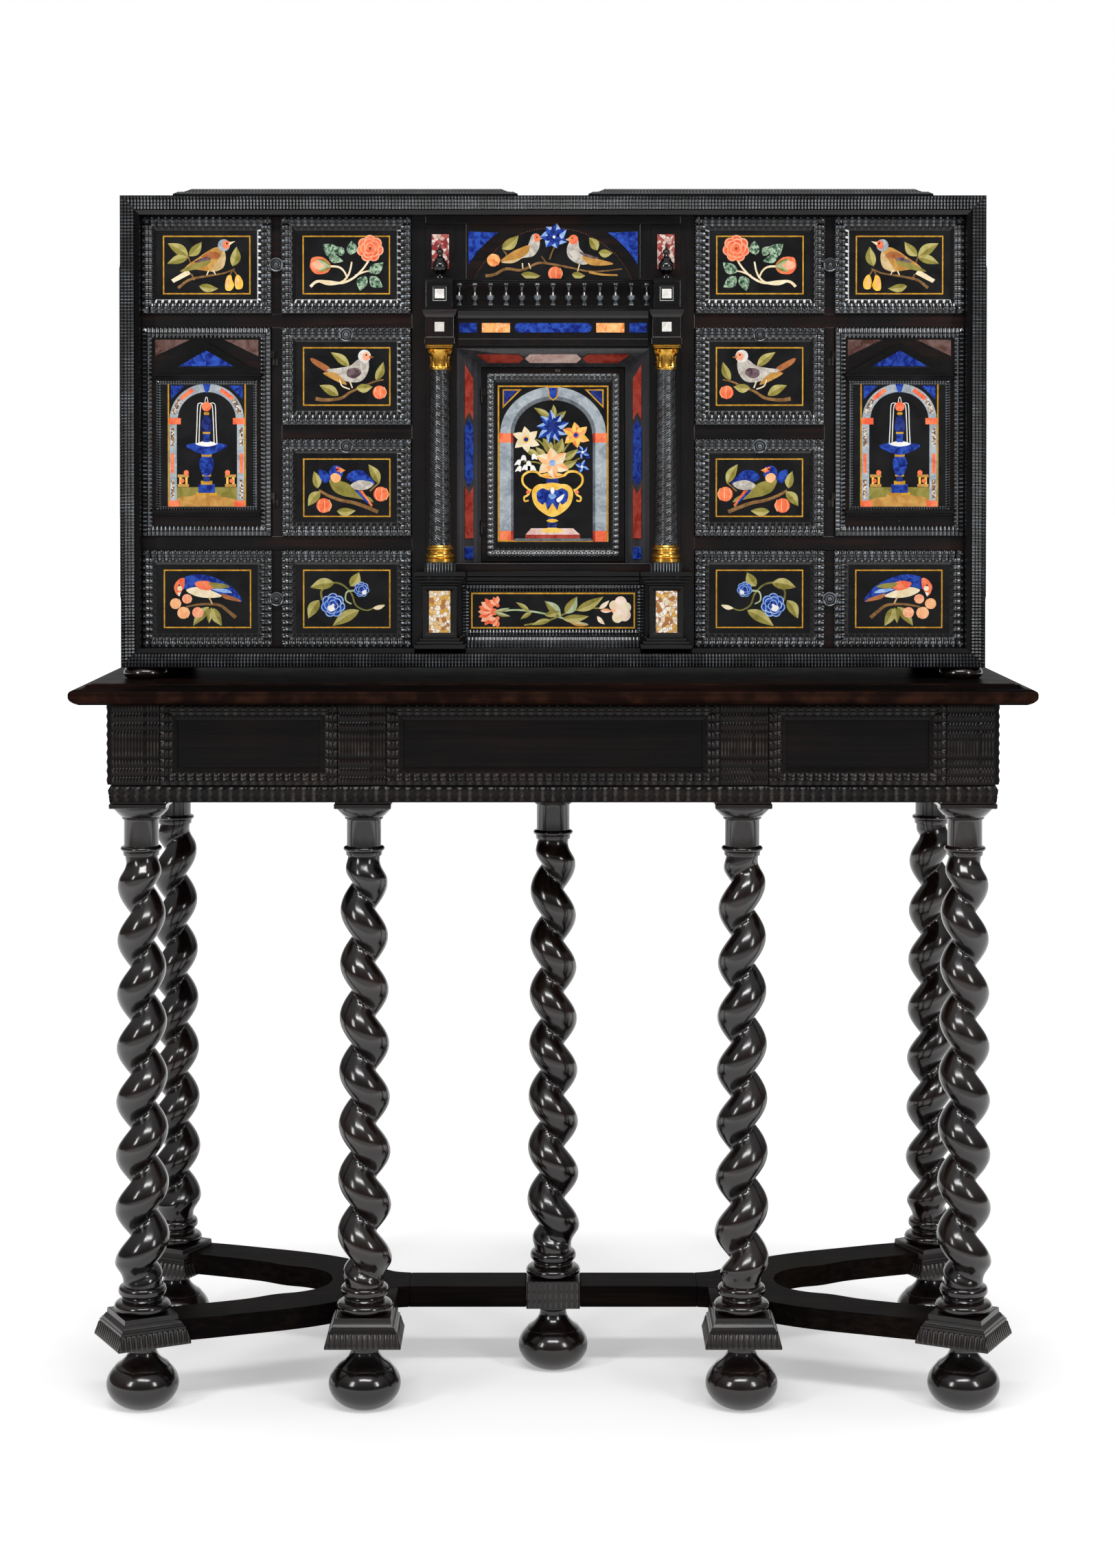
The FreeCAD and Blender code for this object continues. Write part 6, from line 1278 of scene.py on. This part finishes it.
def gallery():
    """Balustrade between two piers, with a finial on each pier."""
    stock = Stock()
    floor, count, around = GALLERY_BOTTOM + 6, 13, 20
    for z0, z1, deep in ((1396, 1399, 5), (1399, 1402, 4.2), (1430, 1433, 4.2), (1433, 1436, 5)):
        board(stock, "ebony", (-GALLERY_X, GALLERY_X), (COLUMN_Y - deep, COLUMN_Y + deep), (z0, z1), 0.5)
    board(stock, "ebony", (-GALLERY_X, GALLERY_X), (FACE - 8, COLUMN_Y + 5), (GALLERY_BOTTOM, floor), 0.3)
    baluster = [(3.4, 0), (3.4, 2.2), (2.2, 2.8)] + bead(2.2, 3.4, 3, 2, 4)
    baluster += [(2.2, 5.4), (3.6, 7.2), (4.7, 9.6), (4.4, 12), (3, 15.4), (2.1, 19.4), (2, 22)]
    baluster += bead(2, 3.2, 22.4, 2, 4) + [(2.2, 24.8), (3.6, 25.6), (3.6, 28)]
    # Bulges are marked raised, so the ebony paints a highlight on them.
    wear_and_glint = np.repeat([0.9 if r > 3.1 else 0.3 for r, _ in baluster], around)
    for i in range(count):
        x = -119.4 + 238.8 * i / (count - 1)
        turned(stock, "ebony", (x, COLUMN_Y, floor), baluster, around, ridge=wear_and_glint)
    pier = 16.5
    frame_profile = [(0, 0, 0), (0, 1.4, 0), (2.4, 1.5, 0), (4.4, 0.4, 0), (4.4, 0, 0)]
    finial = [(7, 0), (7, 2.6), (4, 3.4), (3.2, 5), (5, 6.6), (8.6, 10), (10, 15), (9.6, 19), (7, 22.4),
              (6, 24), (6.6, 25), (4.4, 26.6), (3, 29), (2.8, 31)] + bead(2.4, 4.6, 31, 6, 6)
    finial += [(1.6, 38), (1, 43), (0.4, 44)]
    for side in SIDES:
        at = side * COLUMN_X
        board(stock, "ebony", (at - pier, at + pier), (PIER_FRONT, FACE), (GALLERY_BOTTOM, GALLERY_TOP), 0.6)
        for z0, z1, grow in ((1396, 1399, 1.5), (1432.6, 1436, 1.5), (1430.6, 1432.6, 0.6)):
            board(stock, "ebony", (at - pier - grow, at + pier + grow), (PIER_FRONT - grow, FACE),
                  (z0, z1), 0.4)
        front_frame(stock, "ebony", (at - 12, at + 12), (1404, 1428), PIER_FRONT, frame_profile, 30, 0.0, 1)
        turned(stock, "ebony", (at, COLUMN_Y, GALLERY_TOP), finial, 28)
    stock.make("gallery_and_finials", "frame", "ebony", "balustrade")


def beaded_stone(stock, beads, finish, ring, out, reach, pitch):
    """Stone laid on a face, with a row of beads along each of its sides."""
    prism(stock, finish, ring, out * reach)
    for a, b in zip(ring, ring[1:] + ring[:1]):
        bead_line(beads, "ebony", a + out * 0.4, b + out * 0.4, out, 0.8, pitch)


def centre_stones():
    """Lunette with its doves, and the stones on the front of the middle part."""
    stock, beads = Stock(), Stock()

    def panel(finish, outline, y, reach=1.5):
        ring = [np.array([px, y, pz], float) for px, pz in outline]
        beaded_stone(stock, beads, finish, ring, -BACK, reach, 2.2)

    def rect(x0, x1, z0, z1):
        return [(x0, z0), (x1, z0), (x1, z1), (x0, z1)]

    lunette, half, arch_top, radius, frieze = -129, 100.5, 1502, 109.5, -133
    swing = math.asin(half / radius)
    arch = [(radius * math.sin(t), arch_top - radius + radius * math.cos(t))
            for t in np.linspace(-swing, swing, 41)]
    prism(stock, "slate", [(px, lunette, pz) for px, pz in arch], -BACK * 0.6)
    for a, b in zip(arch[::2], arch[2::2]):
        bead_line(beads, "rust", (a[0], lunette - 0.5, a[1]), (b[0], lunette - 0.5, b[1]), -BACK, 0.6, 2.6)
    inlay(stock, LOVE_DOVES[1], (0, lunette - 0.6, 1440.5), LOVE_DOVES[0], PICTURE_SCALE)
    for side in SIDES:
        at = side * COLUMN_X
        sweep = [(side * px, arch_top - radius + math.sqrt(124.5 ** 2 - px ** 2))
                 for px in np.linspace(70, 108, 9)]
        panel("lapis", [(side * 108, 1497)] + sweep, lunette, 1.4)
        panel("breccia_cream", rect(at - 13.5, at + 13.5, 986, 1039), PEDESTAL_FRONT)
        panel("breccia_red", rect(at - 11, at + 11, 1449.5, 1493.5), -128)
        panel("pearl", rect(at - 6, at + 6, 1368, 1380), -161)
        panel("pearl", rect(at - 6, at + 6, 1410, 1422), PIER_FRONT)
        panel("agate", rect(side * 55, side * 91, 1368, 1380), frieze)
        panel("lapis", rect(side * 97.6, side * 119.6, 1368, 1380), frieze)
        if side == 1:
            ends = [(math.cos(t) * 6, math.sin(t) * 6) for t in np.linspace(-math.pi / 2, math.pi / 2, 9)]
            long_stone = [(sign * (43 + px), 1374 + sign * pz) for sign in (1, -1) for px, pz in ends]
            panel("lapis", long_stone, frieze)
        reveal_stones(stock, beads, side)
    stock.make("centre_hardstones", "frame", "hardstone", "centre_stones")
    beads.make("beaded_borders", "frame", "ebony")


def reveal_stones(stock, beads, side):
    """Stones along one splayed board of the niche, and on the right side's turn also those over it."""
    splay, deep, drop = 30, 35, 23
    out = np.array([-side * deep, -splay, 0]) / math.hypot(splay, deep)
    near, middle, far = 0.3, 0.47, 0.64
    for finish, outline in (
            ("lapis", [(near, 0.02), (far, 0.02), (far, 0.08), (near, 0.08)]),
            ("jasper", [(near, 0.125), (far, 0.125), (far, 0.39), (middle, 0.35), (near, 0.39)]),
            ("lapis", [(middle, 0.39), (far, 0.43), (far, 0.69), (middle, 0.73), (near, 0.69), (near, 0.43)]),
            ("jasper", [(near, 0.73), (middle, 0.77), (far, 0.73), (far, 0.94), (near, 1.01)])):
        ring = [np.array([side * (123 - share * splay), FACE + share * deep, 1073 + rise * 252])
                for share, rise in outline]
        beaded_stone(stock, beads, finish, ring, out, 1.5, 2.4)
    if side == 1:
        out = np.array([0, -drop, -deep]) / math.hypot(drop, deep)
        for finish, outline in (
                ("jasper", [(-98, 0.28), (-44, 0.28), (-38, 0.5), (-44, 0.72), (-84, 0.72)]),
                ("pink_agate", [(-30, 0.28), (30, 0.28), (36, 0.5), (30, 0.72), (-30, 0.72), (-36, 0.5)]),
                ("jasper", [(98, 0.28), (44, 0.28), (38, 0.5), (44, 0.72), (84, 0.72)])):
            ring = [np.array([x, FACE + share * deep, 1348 - share * drop]) for x, share in outline]
            beaded_stone(stock, beads, finish, ring, out, 1.5, 2.4)


# Pieces kept from the CAD model, with finishes and softened edges
def dress(name, finish, edge=0.0):
    """Finish for a piece of the CAD model, and softened edges if a width is given."""
    piece = NODES[name]
    piece.data.materials.clear()
    piece.data.materials.append(FINISHES[finish])
    if edge:
        weld = piece.modifiers.new("weld", "WELD")
        weld.merge_threshold = 0.00002
        ease_edges(piece, edge)


KEPT = {"frieze_rails": ("frieze_wood", 0.6),
        "stretcher_bars": ("stretcher_wood", 1.5), "case_feet": ("leg_wood", 0),
        "case_bottom": ("ebony_board", 0.5), "case_top": ("ebony_board", 0.5),
        "case_sides": ("ebony_upright", 0.5),
        "case_back": ("ebony_board", 0.5), "partitions": ("ebony_upright", 0.4),
        "shelves": ("ebony_board", 0.4),
        "centre_boards": ("ebony_board", 0.4), "centre_walls": ("ebony_upright", 0.3),
        "niche_reveals": ("niche_painted_reflection", 0.3),
        "entablature": ("ebony_upright", 0.4), "attic": ("ebony_board", 0.5), "hinge_pins": ("iron", 0)}
for kept_name, (kept_finish, kept_edge) in KEPT.items():
    dress(kept_name, kept_finish, kept_edge)
for node_name in NODES:
    if node_name.endswith("_stone"):
        dress(node_name, "slate")
for door in ("door_left_stone", "door_right_stone"):
    faces = NODES[door].data.polygons
    NODES[door].data.materials.append(FINISHES["lapis"])
    faces.foreach_set("material_index", [int(face.center.y < (FACE - 5) * MM) for face in faces])

moulded_top()
frieze_mouldings()
for stretcher_side in SIDES:
    stretcher(stretcher_side)
for leg_name, leg_place in LEGS.items():
    leg(leg_name, *leg_place)
plinths_and_feet()
case_mouldings()
for bank_side in SIDES:
    for bank_row in ROWS:
        bank_drawer(bank_side, bank_row)
    side_door(bank_side)
centre_drawer()
centre_door()
pedestals()
columns()
gallery()
centre_stones()


# Studio
def seen_share(tree, share):
    """1 where the camera sees a thing itself, and a share of that where it shows in or through another."""
    ray = node(tree, "LightPath").outputs
    mirrored = math_of(tree, "MAXIMUM", ray["Is Glossy Ray"], ray["Is Transmission Ray"])
    return math_of(tree, "MAXIMUM", ray["Is Camera Ray"], math_of(tree, "MULTIPLY", mirrored, share))


def studio_floor():
    """White paper under the stand; close to the stand its glow is lowered, a painted shade round the feet on
    top of the real shadow.
    """
    mesh = bpy.data.meshes.new("studio_floor")
    mesh.from_pydata([(-30, -30, 0), (30, -30, 0), (30, 60, 0), (-30, 60, 0)], [], [(0, 1, 2, 3)])
    floor = bpy.data.objects.new("studio_floor", mesh)
    bpy.context.scene.collection.objects.link(floor)
    paper = bpy.data.materials.new("studio_paper")
    paper.use_nodes = True
    tree = paper.node_tree
    tree.nodes.clear()
    place = node(tree, "TexCoord").outputs["Object"]
    tone = spread(tree, noise(tree, place, 0.6, 2.0), 0.3, 0.7, 0.84, 0.86)
    matt = node(tree, "BsdfDiffuse", {"Color": tone})
    back_part = spread(tree, node(tree, "SeparateXYZ", {0: place}).outputs["Y"], -1.05, -0.7, 0.06, 1.0)
    seen = seen_share(tree, back_part)
    flat = node(tree, "VectorMath", {0: place, 1: (0.72, 1.0, 1.0)}, operation="MULTIPLY").outputs[0]
    away = node(tree, "VectorMath", {0: flat}, operation="LENGTH").outputs["Value"]
    # Glow falls to a third near the stand: painted shade round it.
    glow = math_of(tree, "MULTIPLY", seen, spread(tree, away, 0.3, 1.1, 0.33, 1.0))
    light = node(tree, "Emission", {"Color": (1, 1, 1, 1), "Strength": glow})
    total = node(tree, "AddShader", {0: matt.outputs[0], 1: light.outputs[0]})
    tree.links.new(total.outputs[0], node(tree, "OutputMaterial").inputs[0])
    mesh.materials.append(paper)


def studio_sky():
    """White behind the cabinet, and a dim room round the camera."""
    world = bpy.data.worlds.new("studio")
    bpy.context.scene.world = world
    world.use_nodes = True
    tree = world.node_tree
    tree.nodes.clear()
    heading = node(tree, "SeparateXYZ", {0: node(tree, "TexCoord").outputs["Generated"]}).outputs
    behind = spread(tree, heading["Y"], 0.62, 0.95)
    room = spread(tree, heading["Z"], 0.1, 0.9, 0.12, 0.5)
    level = node(tree, "Mix", {0: seen_share(tree, behind), 2: room, 3: 1.0}).outputs[0]
    sky = node(tree, "Background", {"Color": (1, 1, 1, 1), "Strength": level})
    tree.links.new(sky.outputs[0], node(tree, "OutputWorld").inputs[0])


def studio_lamp(name, at, aim, size, watts):
    """Soft lamp at a place, aimed at a point."""
    lamp = bpy.data.lights.new(name, "AREA")
    lamp.shape = "RECTANGLE"
    lamp.size, lamp.size_y = size
    lamp.energy = watts
    holder = bpy.data.objects.new(name, lamp)
    bpy.context.scene.collection.objects.link(holder)
    holder.location = at
    holder.rotation_euler = (Vector(aim) - Vector(at)).to_track_quat("-Z", "Y").to_euler()


def studio_camera():
    """View of the photograph: level with the drawers, tipped down a little."""
    tip = 1.05
    lens = bpy.data.cameras.new("view")
    lens.lens, lens.sensor_width = 66.85, 36
    lens.shift_x, lens.shift_y = 0.0028, -0.17
    camera = bpy.data.objects.new("view", lens)
    bpy.context.scene.collection.objects.link(camera)
    camera.location = (0, -3.855, 1.2)
    camera.rotation_euler = (math.radians(90 - tip), 0, 0)
    bpy.context.scene.camera = camera


studio_floor()
studio_sky()
for lamp_side in SIDES:
    studio_lamp(WORDS[lamp_side] + "_softbox", (lamp_side * 2.2, -2.5, 1.8), (0, 0, 1.0), (0.4, 1.3), 28)
studio_lamp("top_softbox", (0, -2.5, 3.3), (0, 0, 0.9), (2.2, 0.4), 58)
studio_camera()
bpy.context.scene.view_settings.view_transform = "Standard"
